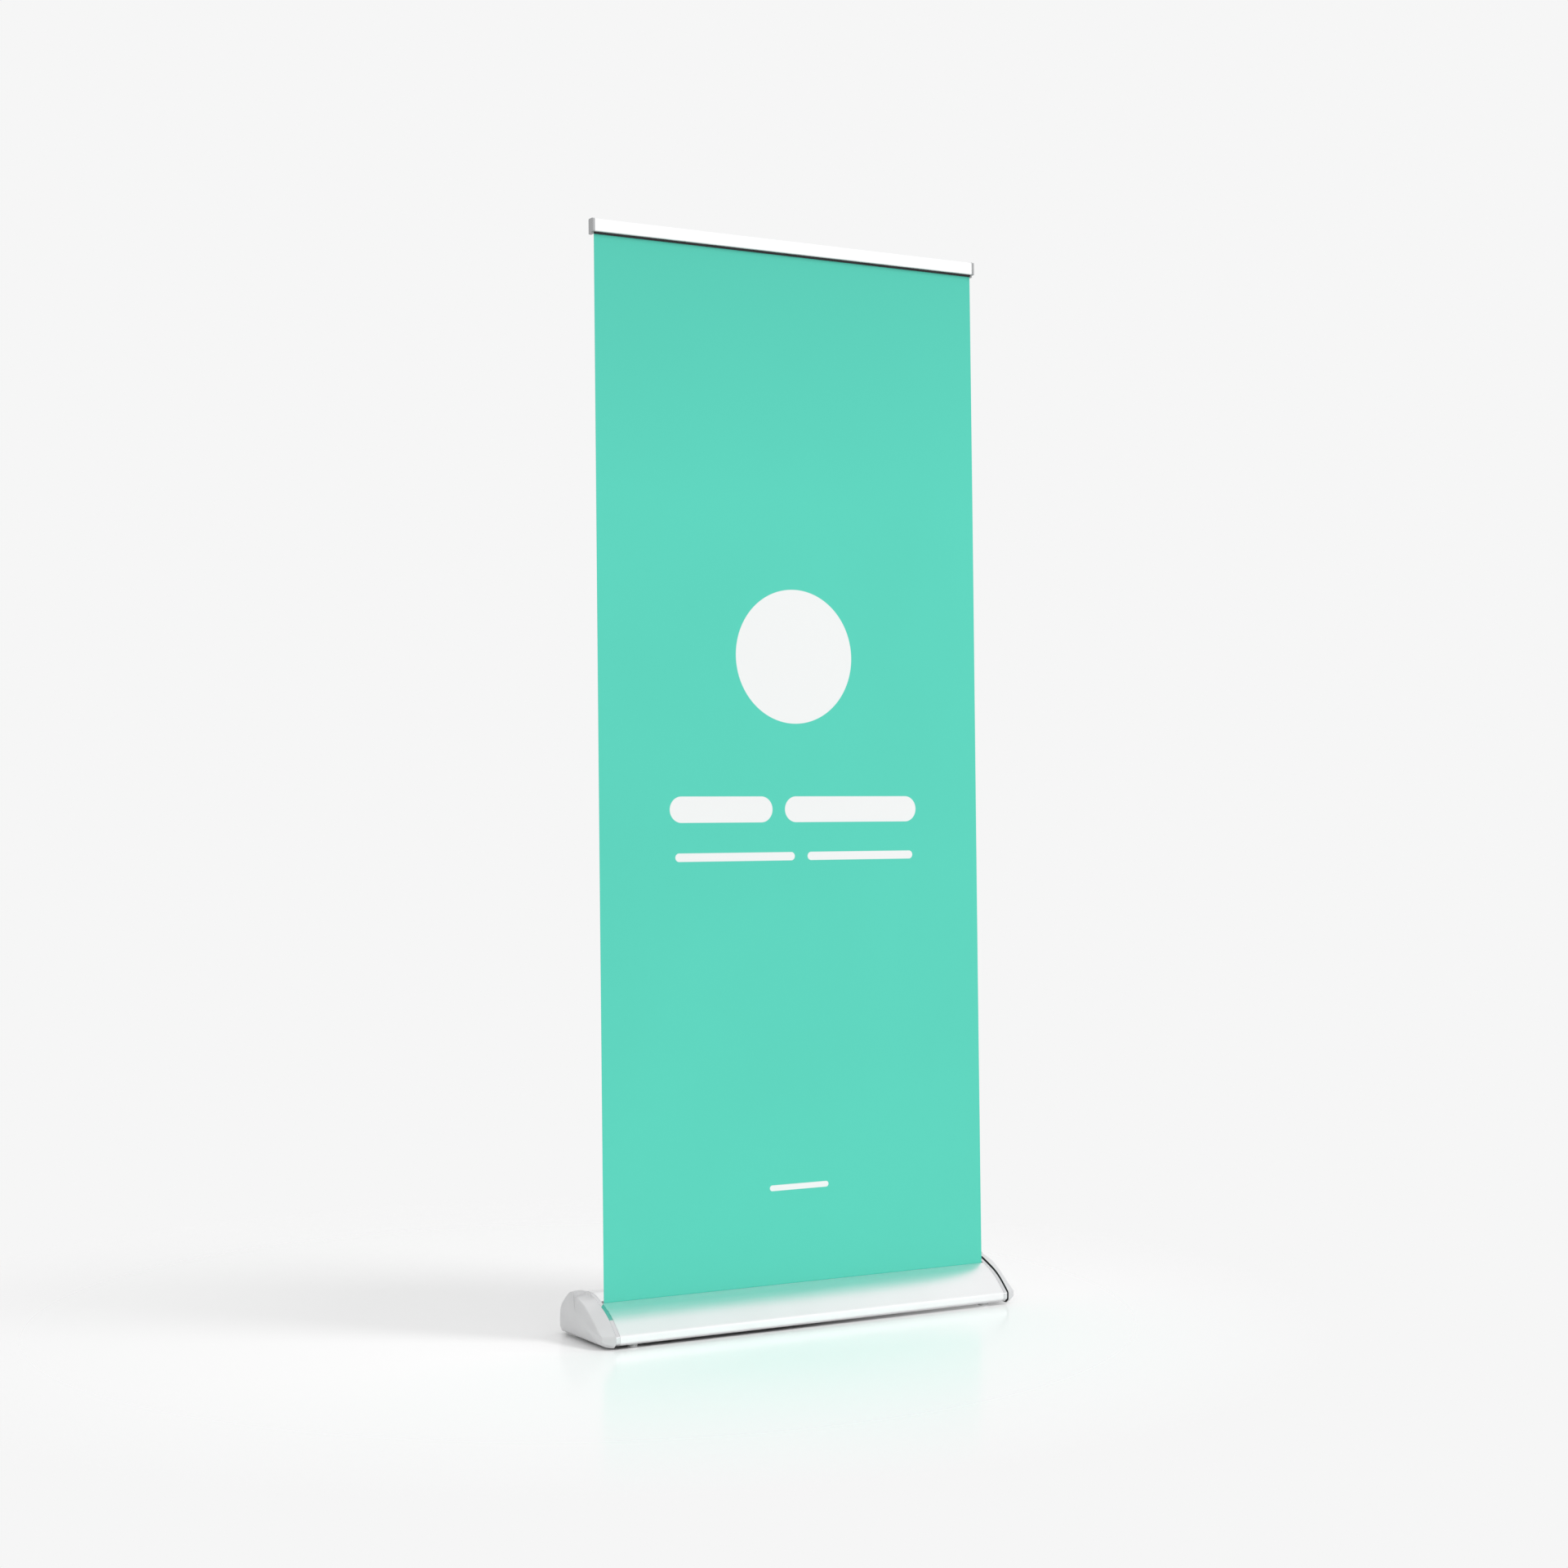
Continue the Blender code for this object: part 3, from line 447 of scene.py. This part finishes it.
def densified(points, step):
    """Closed outline with points added, so that no edge is longer than a step."""
    dense = []
    for i, point in enumerate(points):
        here, after = Vector(point), Vector(points[(i + 1) % len(points)])
        pieces = math.ceil((after - here).length / step)
        dense += [tuple(here.lerp(after, k / pieces)) for k in range(pieces)]
    return dense


def in_row(points):
    """Slot-frame outline in the row frame's Y and Z."""
    return [(y + slot_y, z + lip_height) for y, z in points]


# ---------------------------------------------------------------- solids

def prism(loops, low, high):
    """Outline in (y, z) with holes, filled and extruded along X."""
    bm = bmesh.new()
    edges = []
    for loop in loops:
        verts = [bm.verts.new((low, y, z)) for y, z in loop]
        edges += [bm.edges.new((verts[i - 1], verts[i])) for i in range(len(verts))]
    bmesh.ops.triangle_fill(bm, edges=edges, use_beauty=True)
    lifted = bmesh.ops.extrude_face_region(bm, geom=bm.faces[:])["geom"]
    top = [part for part in lifted if isinstance(part, bmesh.types.BMVert)]
    bmesh.ops.translate(bm, verts=top, vec=(high - low, 0.0, 0.0))
    return bm


def turned(profile, sides=64, ring=False):
    """Profile of (radius, height) points spun about Z. A ring's profile closes on itself."""
    bm = bmesh.new()
    verts = [bm.verts.new((radius, 0.0, height)) for radius, height in profile]
    edges = [bm.edges.new(pair) for pair in zip(verts, verts[1:])]
    if ring:
        edges.append(bm.edges.new((verts[-1], verts[0])))
    bmesh.ops.spin(bm, geom=verts + edges, cent=(0, 0, 0), axis=(0, 0, 1),
                   angle=2 * math.pi, steps=sides, use_merge=True)
    bmesh.ops.remove_doubles(bm, verts=bm.verts[:], dist=1e-6)
    return bm


def upright_prism(outline, low, high):
    """Outline in (x, y) extruded along Z."""
    bm = prism([outline], low, high)
    bm.transform(Matrix(((0, 1, 0, 0), (0, 0, 1, 0), (1, 0, 0, 0), (0, 0, 0, 1))))
    return bm


def make_piece(name, bm, finish, body, replaced=(), place=None, bevel=0.0):
    """A finished piece: placed, shaded, riding on its body and standing for the CAD nodes it replaces."""
    if place is not None:
        bm.transform(place)
    bmesh.ops.recalc_face_normals(bm, faces=bm.faces[:])
    mesh = bpy.data.meshes.new(name)
    bm.to_mesh(mesh)
    bm.free()
    mesh.materials.append(MATERIAL[finish])
    mesh.shade_smooth()
    mesh.set_sharp_from_angle(angle=math.radians(30))
    piece = bpy.data.objects.new(name, mesh)
    bpy.context.scene.collection.objects.link(piece)
    if bevel:
        edges = piece.modifiers.new("edges", "BEVEL")
        edges.width = bevel
        edges.segments = 3
        edges.limit_method = "ANGLE"
        edges.angle_limit = math.radians(40)
        edges.harden_normals = True
    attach(piece, body)
    if replaced:
        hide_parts(*replaced)
    return piece


def join_shape(piece, name, bm, operation, place=None):
    """Cuts a shape from a piece, or joins it on, and leaves a plain mesh."""
    if place is not None:
        bm.transform(place)
    bmesh.ops.recalc_face_normals(bm, faces=bm.faces[:])
    mesh = bpy.data.meshes.new(name)
    bm.to_mesh(mesh)
    bm.free()
    tool = bpy.data.objects.new(name, mesh)
    bpy.context.scene.collection.objects.link(tool)
    modifier = piece.modifiers.new(name, "BOOLEAN")
    modifier.operation = operation
    modifier.object = tool
    while piece.modifiers[0] != modifier:
        piece.modifiers.move(len(piece.modifiers) - 1, 0)
    bpy.context.view_layer.update()
    with bpy.context.temp_override(object=piece, active_object=piece):
        bpy.ops.object.modifier_apply(modifier=modifier.name)
    bpy.data.objects.remove(tool)
    piece.data.shade_smooth()
    piece.data.set_sharp_from_angle(angle=math.radians(30))


# ---------------------------------------------------------------- cassette

outline = base_outline()
cavity = offset(outline, -wall)


def cassette():
    """Extrusion with an open, rounded slot into the roller chamber and two closed chambers behind it.
    Its underside is dark."""
    shell_low, shell_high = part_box("cassette_shell")
    outside = slotted(outline)
    inside = slotted(clipped(cavity, web_y, False))
    lips = outside + list(reversed(inside))
    pole_room = clipped(clipped(cavity, web_y + wall, True), mid_web_y, False)
    rear_room = clipped(cavity, mid_web_y + wall, True)
    loops = [in_row(loop) for loop in (lips, pole_room, rear_room)]
    shell = make_piece("cassette_extrusion", prism(loops, shell_low.x, shell_high.x),
                       "satin_aluminium", "root", ["cassette_shell"])
    socket_low, socket_high = leaned_box("pole_socket")
    middle_y = (socket_low.y + socket_high.y) / 2
    cup_radius = (socket_high.x - socket_low.x) / 2 - socket_rim + clearance
    hole_top = 0.040
    hole = turned([(0, 0.0), (cup_radius, 0.0), (cup_radius, hole_top), (0, hole_top)])
    join_shape(shell, "socket_hole", hole, "DIFFERENCE", leaned_frame @ Matrix.Translation((0, middle_y, 0)))
    shell.data.materials.append(MATERIAL["black_rubber"])
    underside_top = 0.008
    for face in shell.data.polygons:
        if face.normal.z < -0.97 and face.center.z < underside_top:
            face.material_index = 1


def slotted(loop):
    """A closed outline opened at the slot: it starts at the slot's front edge and ends at its back."""
    count = len(loop)
    first = next(i for i in range(count) if loop[i][1] > -0.02
                 and loop[i - 1][0] >= slot_front > loop[i][0])
    order = loop[first:] + loop[:first]
    last = max(i for i in range(count) if order[i][0] > slot_back and order[i][1] > -0.02)

    def crossing(here, after, y):
        return (y, here[1] + (after[1] - here[1]) * (y - here[0]) / (after[0] - here[0]))

    start = crossing(order[-1], order[0], slot_front)
    end = crossing(order[last], order[(last + 1) % count], slot_back)
    return [start] + order[:last + 1] + [end]


def end_plate(side):
    low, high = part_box("end_plate_" + side)
    plate = prism([in_row(outline)], low.x, high.x)
    make_piece("end_plate_polished_" + side, plate, "polished_trim", "root", ["end_plate_" + side],
               bevel=0.0004)


cassette()
for side in ("left", "right"):
    end_plate(side)


# ---------------------------------------------------------------- end covers

def eased(value):
    """Smooth step from 0 to 1."""
    value = min(1.0, max(0.0, value))
    return value * value * (3 - 2 * value)


def cover_ring(rim, share):
    """The cover's outline at a share of the way from its rim to the crease round its side face.
    Beside the front slope it is a straight facet that falls away. Elsewhere it is full and turns in
    late."""
    nose_inset, rear_inset, belly_rise = 0.0135, 0.018, 0.007
    crown_y, facet_end, facet_sweep = 0.060, 0.051, 0.035
    facet_drop = [(-0.0765, 0.0020), (-0.055, 0.0100), (-0.035, 0.0115), (0.0, 0.0075), (0.030, 0.0085)]
    ring = []
    for y, z in rim:
        if y < crown_y:
            inset = nose_inset * share * (crown_y - y) / (crown_y - nose_y)
        else:
            inset = -rear_inset * share ** 3 * ((y - crown_y) / (rear_y - crown_y)) ** 2
        under = eased((-0.054 - z) / 0.012)
        end = facet_end - facet_sweep * (1 - share) ** 4
        facet = (1 - under) * eased((end - y) / 0.005 + 0.5)
        drop = float(np.interp(y, *zip(*facet_drop))) * share ** (1 - 0.5 * eased((y + 0.005) / 0.030))
        ring.append((y + inset, z - facet * drop + under * belly_rise * share ** 3
                     - (1 - facet) * (1 - under) * 0.0015 * share ** 3))
    return ring


def end_cover(side, sign):
    """Hollow moulded cover: rings out from the rim to a softened crease, across the side face, and
    back inside."""
    shoulder, bulge, proud, thick = 0.022, 0.0075, 0.0030, 0.0030
    low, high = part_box("end_cap_" + side)
    rim_x = high.x if sign < 0 else low.x
    middle = Vector(((nose_y + rear_y) / 2, (belly + crown_top) / 2))
    base = densified(outline, 0.0016)
    rim = offset(base, proud)
    crease = cover_ring(rim, 1.0)

    def scaled_ring(scale, reach):
        return [(reach, *middle.lerp(Vector(point), scale)) for point in crease]

    shares = [0.0, 0.03, 0.1, 0.2, 0.3, 0.4, 0.5, 0.6, 0.7, 0.79, 0.87, 0.92, 0.95, 0.975, 1.0]
    outer = [[(share * shoulder, y, z) for y, z in cover_ring(rim, share)] for share in shares]
    outer += [scaled_ring(scale, shoulder + bulge * (1 - scale ** 2) ** 0.75)
              for scale in (0.985, 0.97, 0.95, 0.92, 0.88, 0.82, 0.74, 0.64, 0.52, 0.38, 0.24, 0.12)]
    outer = np.array(outer)
    for _ in range(4):
        outer[10:20] += 0.25 * (outer[9:19] - 2 * outer[10:20] + outer[11:21])
    outer[0] = [(0.0, y, z) for y, z in offset(base, proud - 0.0004)]
    hollow = [scaled_ring(scale, shoulder - thick) for scale in (0.12, 0.5, 0.92)]
    hollow.append([(0.0, y, z) for y, z in offset(base, proud - thick - 0.0015)])

    bm = bmesh.new()
    levels = [[bm.verts.new((rim_x + sign * x, y + slot_y, z + lip_height)) for x, y, z in ring]
              for ring in list(outer) + hollow]
    last = len(levels) - 1
    bridges = [(k, k + 1) for k in range(last) if k != len(outer) - 1] + [(last, 0)]
    for lower, upper in bridges:
        for i in range(len(base)):
            bm.faces.new((levels[lower][i - 1], levels[lower][i], levels[upper][i], levels[upper][i - 1]))
    for level in (levels[len(outer) - 1], levels[len(outer)]):
        bm.faces.new(level)
    make_piece("end_cover_" + side, bm, "silver_plastic", "root", ["end_cap_" + side])


def gasket(side):
    """Thin dark gasket between the end plate and its cover."""
    play, outside, inside = 0.00004, 0.0025, -0.0015
    plate_low, plate_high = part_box("end_plate_" + side)
    cap_low, cap_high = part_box("end_cap_" + side)
    low, high = (cap_high.x, plate_low.x) if side == "left" else (plate_high.x, cap_low.x)
    loops = [in_row(offset(outline, reach)) for reach in (outside, inside)]
    make_piece("cover_gasket_" + side, prism(loops, low + play, high - play), "black_rubber", "root")


end_cover("left", -1)
end_cover("right", 1)
gasket("left")
gasket("right")


# ---------------------------------------------------------------- feet

def feet(side):
    """Knurled levelling foot with its stud and pad, and the rubber pad at the back."""
    pad_low, pad_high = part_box("foot_pad_" + side)
    stud_low, stud_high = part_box("foot_stud_" + side)
    centre = Matrix.Translation(((pad_low.x + pad_high.x) / 2, (pad_low.y + pad_high.y) / 2, 0.0))
    radius = (pad_high.x - pad_low.x) / 2
    pad = turned([(0, pad_low.z), (radius - 0.0008, pad_low.z), (radius - 0.0002, pad_low.z + 0.0003),
                  (radius, pad_low.z + 0.0009), (radius, pad_high.z - 0.0005),
                  (radius - 0.0005, pad_high.z), (0, pad_high.z)])
    make_piece("levelling_pad_" + side, pad, "foot_plastic", "foot_" + side, ["foot_pad_" + side], centre)

    knob_top = stud_low.z + 0.0025
    lobes, points_per_lobe = 30, 6
    rim = []
    for i in range(lobes * points_per_lobe):
        angle = 2 * math.pi * i / (lobes * points_per_lobe)
        reach = radius - 0.00025 + 0.00025 * math.cos(lobes * angle)
        rim.append((reach * math.cos(angle), reach * math.sin(angle)))
    knob = make_piece("levelling_knob_" + side, upright_prism(rim, stud_low.z, knob_top), "foot_plastic",
                      "foot_knob_" + side, ["foot_stud_" + side], centre, bevel=0.0003)
    stud_radius, stud_chamfer = 0.003, 0.0005
    stud = turned([(0, knob_top - 0.001), (stud_radius, knob_top - 0.001),
                   (stud_radius, stud_high.z - stud_chamfer), (stud_radius - stud_chamfer, stud_high.z),
                   (0, stud_high.z)], 32)
    join_shape(knob, "stud", stud, "UNION", centre)

    rear_low, rear_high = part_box("rear_pad_" + side)
    half_x, half_y = (rear_high.x - rear_low.x) / 2, (rear_high.y - rear_low.y) / 2
    middle = Matrix.Translation(((rear_low.x + rear_high.x) / 2, (rear_low.y + rear_high.y) / 2, 0.0))
    corners = rounded([(-half_x, -half_y, 0.004), (half_x, -half_y, 0.004),
                       (half_x, half_y, 0.004), (-half_x, half_y, 0.004)])
    make_piece("rubber_pad_" + side, upright_prism(corners, rear_low.z, rear_high.z), "black_rubber", "root",
               ["rear_pad_" + side], middle, bevel=0.0006)


feet("left")
feet("right")


# ---------------------------------------------------------------- banner

def banner():
    """Stretched film: printed front, light back, with the faint ripples of a sheet under tension."""
    columns, rows = 60, 150
    half = (banner_high.x - banner_low.x) / 2
    film_half = (banner_high.y - banner_low.y) / 2 - 0.00002
    ripple, flat_height = 0.0006, 2.10

    def wave(x, up):
        hold = math.sin(math.pi * min(1.0, max(0.0, (up - 0.02) / (banner_high.z - 0.05)))) ** 0.7
        edge = abs(x / half) ** 3
        return ripple * hold * (0.5 * math.sin(5.1 * x + 1.7 * up) + edge * math.sin(2.3 * up + x))

    bm = bmesh.new()
    rest = bm.verts.layers.float.new("print_up")
    grid = {}
    for face_side in (-1, 1):
        for row in range(rows + 1):
            up = banner_low.z + (banner_high.z - banner_low.z) * row / rows
            for column in range(columns + 1):
                x = -half + 2 * half * column / columns
                vert = bm.verts.new((x, wave(x, up) + face_side * film_half, up))
                vert[rest] = up
                grid[face_side, row, column] = vert
    for face_side in (-1, 1):
        for row in range(rows):
            for column in range(columns):
                bm.faces.new([grid[face_side, row, column], grid[face_side, row, column + 1],
                              grid[face_side, row + 1, column + 1], grid[face_side, row + 1, column]]
                             ).material_index = int(face_side > 0)
    rim = [(0, c) for c in range(columns)] + [(r, columns) for r in range(rows)]
    rim += [(rows, c) for c in range(columns, 0, -1)] + [(r, 0) for r in range(rows, 0, -1)]
    for i, start in enumerate(rim):
        end = rim[(i + 1) % len(rim)]
        corners = [grid[(-1, *start)], grid[(-1, *end)], grid[(1, *end)], grid[(1, *start)]]
        bm.faces.new(corners).material_index = 1
    sheet = make_piece("banner_film", bm, "banner_print", "root", ["banner_sheet"], leaned_frame)
    sheet.data.materials.append(MATERIAL["banner_back"])
    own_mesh(sheet)


banner()


# ---------------------------------------------------------------- top rail

rail_low, rail_high = leaned_box("rail_back")
jaw_low, jaw_high = leaned_box("rail_jaw")


def rail():
    """White two-part snap rail with its grey end pieces."""
    face, thick = 0.00055, 0.0015
    height = jaw_high.z - jaw_low.z
    pivot = (-0.0016, 0.0200)
    bead, claw = 0.0016, 0.0012
    claw_in, claw_out = bead + clearance, bead + clearance + claw
    front, back = jaw_low.y, rail_high.y
    skirt, rear_leg = rail_low.z - jaw_low.z, 0.006
    join = math.degrees(math.acos((face - pivot[0]) / claw_out))
    shape = [(face, skirt), (face, pivot[1] - claw_out * math.sin(math.radians(join)))]
    shape += arc(pivot, claw_out, -join, -150, 16)[1:]
    shape += arc(pivot, claw_in, -150, 20, 24)
    shape += rounded([(face, height, 0.0003), (back, height, 0.0022), (back, rear_leg, 0.0004),
                      (back - thick, rear_leg, 0.0004), (back - thick, height - thick, 0.001),
                      (face + thick, height - thick, 0.0006), (face + thick, skirt, 0.0004)])
    place = leaned_frame @ Matrix.Translation((0.0, 0.0, jaw_low.z))
    make_piece("rail_body", prism([shape], rail_low.x, rail_high.x), "rail_white", "top_rail",
               ["rail_back"], place)

    lip = -(face + 0.0010)
    top_back = pivot[0] + bead * math.cos(math.radians(80))
    jaw = rounded([(front, height, 0.003), (front, 0.0, 0.0015), (lip, 0.0, 0.0002), (lip, 0.003, 0.0002),
                   (front + thick, 0.003, 0.0005), (front + thick, height - thick, 0.0015)])
    jaw += [(pivot[0] - bead * math.cos(math.radians(20)) - 0.0004, height - thick)]
    jaw += arc(pivot, bead, 150, 440, 40)
    jaw += [(top_back, height - 0.0006), (top_back - 0.0006, height)]
    make_piece("rail_front", prism([jaw], jaw_low.x, jaw_high.x), "rail_white", "rail_jaw",
               ["rail_jaw"], place)

    grip_low, grip_high = leaned_box("rail_grip_strip")
    grip_top, short, soft = 0.0028, 0.001, 0.0002
    grip = rounded([(lip - 0.0005, grip_top, soft), (lip - 0.0004, -0.0040, soft),
                    (lip + 0.0006, -0.0046, soft), (lip + 0.0004, grip_top, soft)])
    make_piece("rail_lip_seal", prism([grip], grip_low.x + short, grip_high.x - short), "black_rubber",
               "rail_jaw", ["rail_grip_strip"], place)

    for side in ("left", "right"):
        low, high = leaned_box("rail_cap_" + side)
        top, bottom = high.z - jaw_low.z, low.z - jaw_low.z
        step, shortened = -0.0010, 0.0015
        shape = rounded([(low.y, top, 0.003), (low.y, step, 0.002), (-face, step, 0.0),
                         (-face, bottom, 0.001), (high.y, bottom, 0.002), (high.y, top, 0.003)])
        ends = (low.x + shortened, high.x) if side == "left" else (low.x, high.x - shortened)
        make_piece("rail_end_" + side, prism([shape], *ends), "grey_plastic", "top_rail",
                   ["rail_cap_" + side], place, bevel=0.0010)


rail()


# ---------------------------------------------------------------- pole

def pole():
    """Telescopic tubes, socket, clamp collars with flip levers, and the hook under the rail."""
    socket_low, socket_high = leaned_box("pole_socket")
    axis_y = (socket_low.y + socket_high.y) / 2
    axis = leaned_frame @ Matrix.Translation((0.0, axis_y, 0.0))
    bodies = {"lower": "root", "mid": "pole_mid", "upper": "pole_upper"}
    tube_wall, lip = 0.001, 0.0002
    for name, body in bodies.items():
        low, high = leaned_box("pole_" + name)
        radius = (high.x - low.x) / 2
        inner = radius - tube_wall
        profile = [(inner, low.z), (radius - lip, low.z), (radius, low.z + lip), (radius, high.z - lip),
                   (radius - lip, high.z), (inner + lip, high.z), (inner, high.z - lip)]
        make_piece("pole_tube_" + name, turned(profile, 96, ring=True), "pole_aluminium", body,
                   ["pole_" + name], axis)

    flange = (socket_high.x - socket_low.x) / 2
    cup, bore = flange - socket_rim, leaned_box("pole_lower")[1].x + clearance
    top, seat = socket_high.z, socket_high.z - 0.003
    profile = [(0, socket_low.z), (cup, socket_low.z), (cup, seat), (flange, seat)]
    profile += arc((flange - 0.0012, top - 0.0012), 0.0012, 0, 90, 6)
    profile += arc((bore + 0.0008, top - 0.0008), 0.0008, 90, 180, 6)
    profile += [(bore, socket_low.z + 0.002), (0, socket_low.z + 0.002)]
    make_piece("pole_cup", turned(profile, 96), "black_plastic", "root", ["pole_socket"], axis)
    for name in ("lower", "mid"):
        collar(name, bodies[name], axis)
    hook(axis)


def collar(name, body, axis):
    """Split clamp collar with ribs and a curved flip lever between its two ears."""
    low, high = leaned_box("lock_collar_" + name)
    tube_radius = leaned_box("pole_" + name)[1].x
    bore, outside = tube_radius + clearance, tube_radius + clearance + 0.0052
    slot_half = 0.0050
    spread = math.degrees(math.asin(slot_half / outside))
    ring = arc((0, 0), outside, 90 + spread, 450 - spread, 64)
    body_ring = make_piece("clamp_collar_" + name, upright_prism(ring, low.z, high.z), "black_plastic", body,
                           ["lock_collar_" + name], axis, bevel=0.0008)
    pin_low, pin_high = leaned_box("lever_pin_" + name)
    pin_y = (pin_low.y + pin_high.y) / 2 - axis_offset(axis)
    pin_z = (pin_low.z + pin_high.z) / 2
    for number, sign in enumerate((-1, 1)):
        inner, outer = sorted((sign * slot_half, sign * pin_high.x))
        ear = rounded([(pin_y - 0.0055, pin_z - 0.008, 0.001), (pin_y + 0.0042, pin_z - 0.008, 0.004),
                       (pin_y + 0.0042, pin_z + 0.008, 0.004), (pin_y - 0.0055, pin_z + 0.008, 0.001)])
        join_shape(body_ring, "ear_%d" % number, prism([ear], inner, outer), "UNION", axis)
    bottom, top = low.z - 0.001, high.z + 0.001
    bore_tool = turned([(0, bottom), (bore, bottom), (bore, top), (0, top)], 96)
    join_shape(body_ring, "tube_bore", bore_tool, "DIFFERENCE", axis)

    lever_low, lever_high = leaned_box("lock_lever_" + name)
    half = 0.00225
    hub = arc((0, 0), 0.0034, -50, 230, 30)
    length = pin_z - lever_low.z
    handle = [(-half, -0.35 * length), (-half + 0.0004, -0.75 * length), (-half + 0.0002, -length + 0.004)]
    handle += [(-0.2 * half, -length + 0.0008), (0.5 * half, -length), (half, -length + 0.0015)]
    handle += [(half - 0.0004, -0.75 * length), (half, -0.35 * length)]
    lever = prism([hub + handle, circle((0, 0), 0.0018, 24)], lever_low.x, lever_high.x)
    make_piece("flip_lever_" + name, lever, "black_plastic", "lever_" + name, ["lock_lever_" + name],
               axis @ Matrix.Translation((0.0, pin_y, pin_z)), bevel=0.0006)


def axis_offset(axis):
    """Distance of the pole's axis behind the banner, in the leaned frame."""
    return (leaned_frame.inverted() @ axis).translation.y


def hook(axis):
    """Hook with a tongue up into the rail, on a round plug."""
    low, high = leaned_box("pole_hook")
    axis_y = axis_offset(axis)
    groove_front = low.y - axis_y
    tongue_back = groove_front + 0.0045
    arm_top = jaw_low.z + 0.006 - clearance
    arm_low = arm_top - 0.008
    shape = rounded([(groove_front, arm_low + 0.002, 0.0008), (groove_front + 0.002, arm_low, 0.0008),
                     (high.y - axis_y, arm_low, 0.002), (high.y - axis_y, arm_top, 0.003),
                     (tongue_back, arm_top, 0.0008), (tongue_back, high.z, 0.0008),
                     (groove_front, high.z, 0.0008)])
    piece = make_piece("rail_hook", prism([shape], low.x, high.x), "black_plastic", "pole_upper",
                       ["pole_hook"], axis, bevel=0.0008)
    plug_radius = leaned_box("pole_upper")[1].x - 0.001 - clearance
    stem = turned([(0, low.z), (plug_radius, low.z), (plug_radius, arm_low + 0.003), (0, arm_low + 0.003)])
    join_shape(piece, "hook_stem", stem, "UNION", axis)


pole()

# ---------------------------------------------------------------- CAD nodes that stay

NODE_FINISH = {part["node"]: part["material_slot"] for part in frame["record"]["subparts"]}
for node_name, node_object in frame["nodes"].items():
    finish_name = NODE_FINISH[node_name]
    node_object.data.materials.clear()
    node_object.data.materials.append(MATERIAL[finish_name])

# ---------------------------------------------------------------- floor and light

BACKDROP = 0.922


def floor():
    """Glossy white floor round the stand that melts into the backdrop."""
    bm = bmesh.new()
    bmesh.ops.create_grid(bm, x_segments=1, y_segments=1, size=6.0)
    mesh = bpy.data.meshes.new("floor")
    bm.to_mesh(mesh)
    bm.free()
    plane = bpy.data.objects.new("floor", mesh)
    plane.location.z = -0.0003
    bpy.context.scene.collection.objects.link(plane)
    middle, fade_start, fade_end = (-0.30, 0.30, 0.0), 0.45, 1.45
    material = new_material("floor", (0.94, 0.94, 0.94), 0.16, Specular_IOR_Level=0.22)
    tree = material.node_tree
    spot = add_node(tree, "VectorMath", {0: coordinates(tree), 1: middle}, operation="SUBTRACT")
    distance = add_node(tree, "VectorMath", {0: spot.outputs["Vector"]}, operation="LENGTH").outputs["Value"]
    fade = ranged(tree, distance, 0.0, 1.0, fade_start, fade_end)
    clear = add_node(tree, "BsdfTransparent")
    mixed = add_node(tree, "MixShader", {0: fade})
    shader = tree.nodes["Principled BSDF"]
    tree.links.new(shader.outputs[0], mixed.inputs[1])
    tree.links.new(clear.outputs[0], mixed.inputs[2])
    tree.links.new(mixed.outputs[0], tree.nodes["Material Output"].inputs["Surface"])
    mesh.materials.append(material)


def soft_light(name, place, target, size, power, mirrored):
    """Round soft light aimed at a point, seen in glossy surfaces only where mirrored is true."""
    data = bpy.data.lights.new(name, "AREA")
    data.shape = "DISK"
    data.size = size
    data.energy = power
    lamp = bpy.data.objects.new(name, data)
    lamp.location = place
    lamp.visible_glossy = mirrored
    lamp.rotation_euler = (Vector(target) - Vector(place)).to_track_quat("-Z", "Y").to_euler()
    bpy.context.scene.collection.objects.link(lamp)


def studio():
    """Even backdrop for the view. For light and reflections, a studio brighter above and in front."""
    world = bpy.data.worlds.new("studio")
    world.use_nodes = True
    tree = world.node_tree
    above_front = (0.20, -0.50, 0.85)
    direction = add_node(tree, "TexCoord").outputs["Generated"]
    toward = add_node(tree, "VectorMath", {0: direction, 1: above_front}, operation="DOT_PRODUCT")
    glow = ranged(tree, toward.outputs["Value"], 0.72, 0.98, -0.10, 0.40)
    seen = add_node(tree, "LightPath").outputs["Is Camera Ray"]
    level = add_node(tree, "Mix", {0: seen, 2: glow, 3: BACKDROP})
    tree.links.new(level.outputs[0], tree.nodes["Background"].inputs["Strength"])
    tree.nodes["Background"].inputs["Color"].default_value = (1.0, 1.0, 1.0, 1.0)
    bpy.context.scene.world = world


floor()
soft_light("key", (5.2, -4.8, 8.6), (0.0, 0.0, 0.9), 3.0, 390.0, False)
soft_light("fill", (2.6, -4.5, 0.9), (0.0, 0.0, 0.05), 2.0, 7.0, True)
studio()
bpy.context.scene.view_settings.view_transform = "Standard"
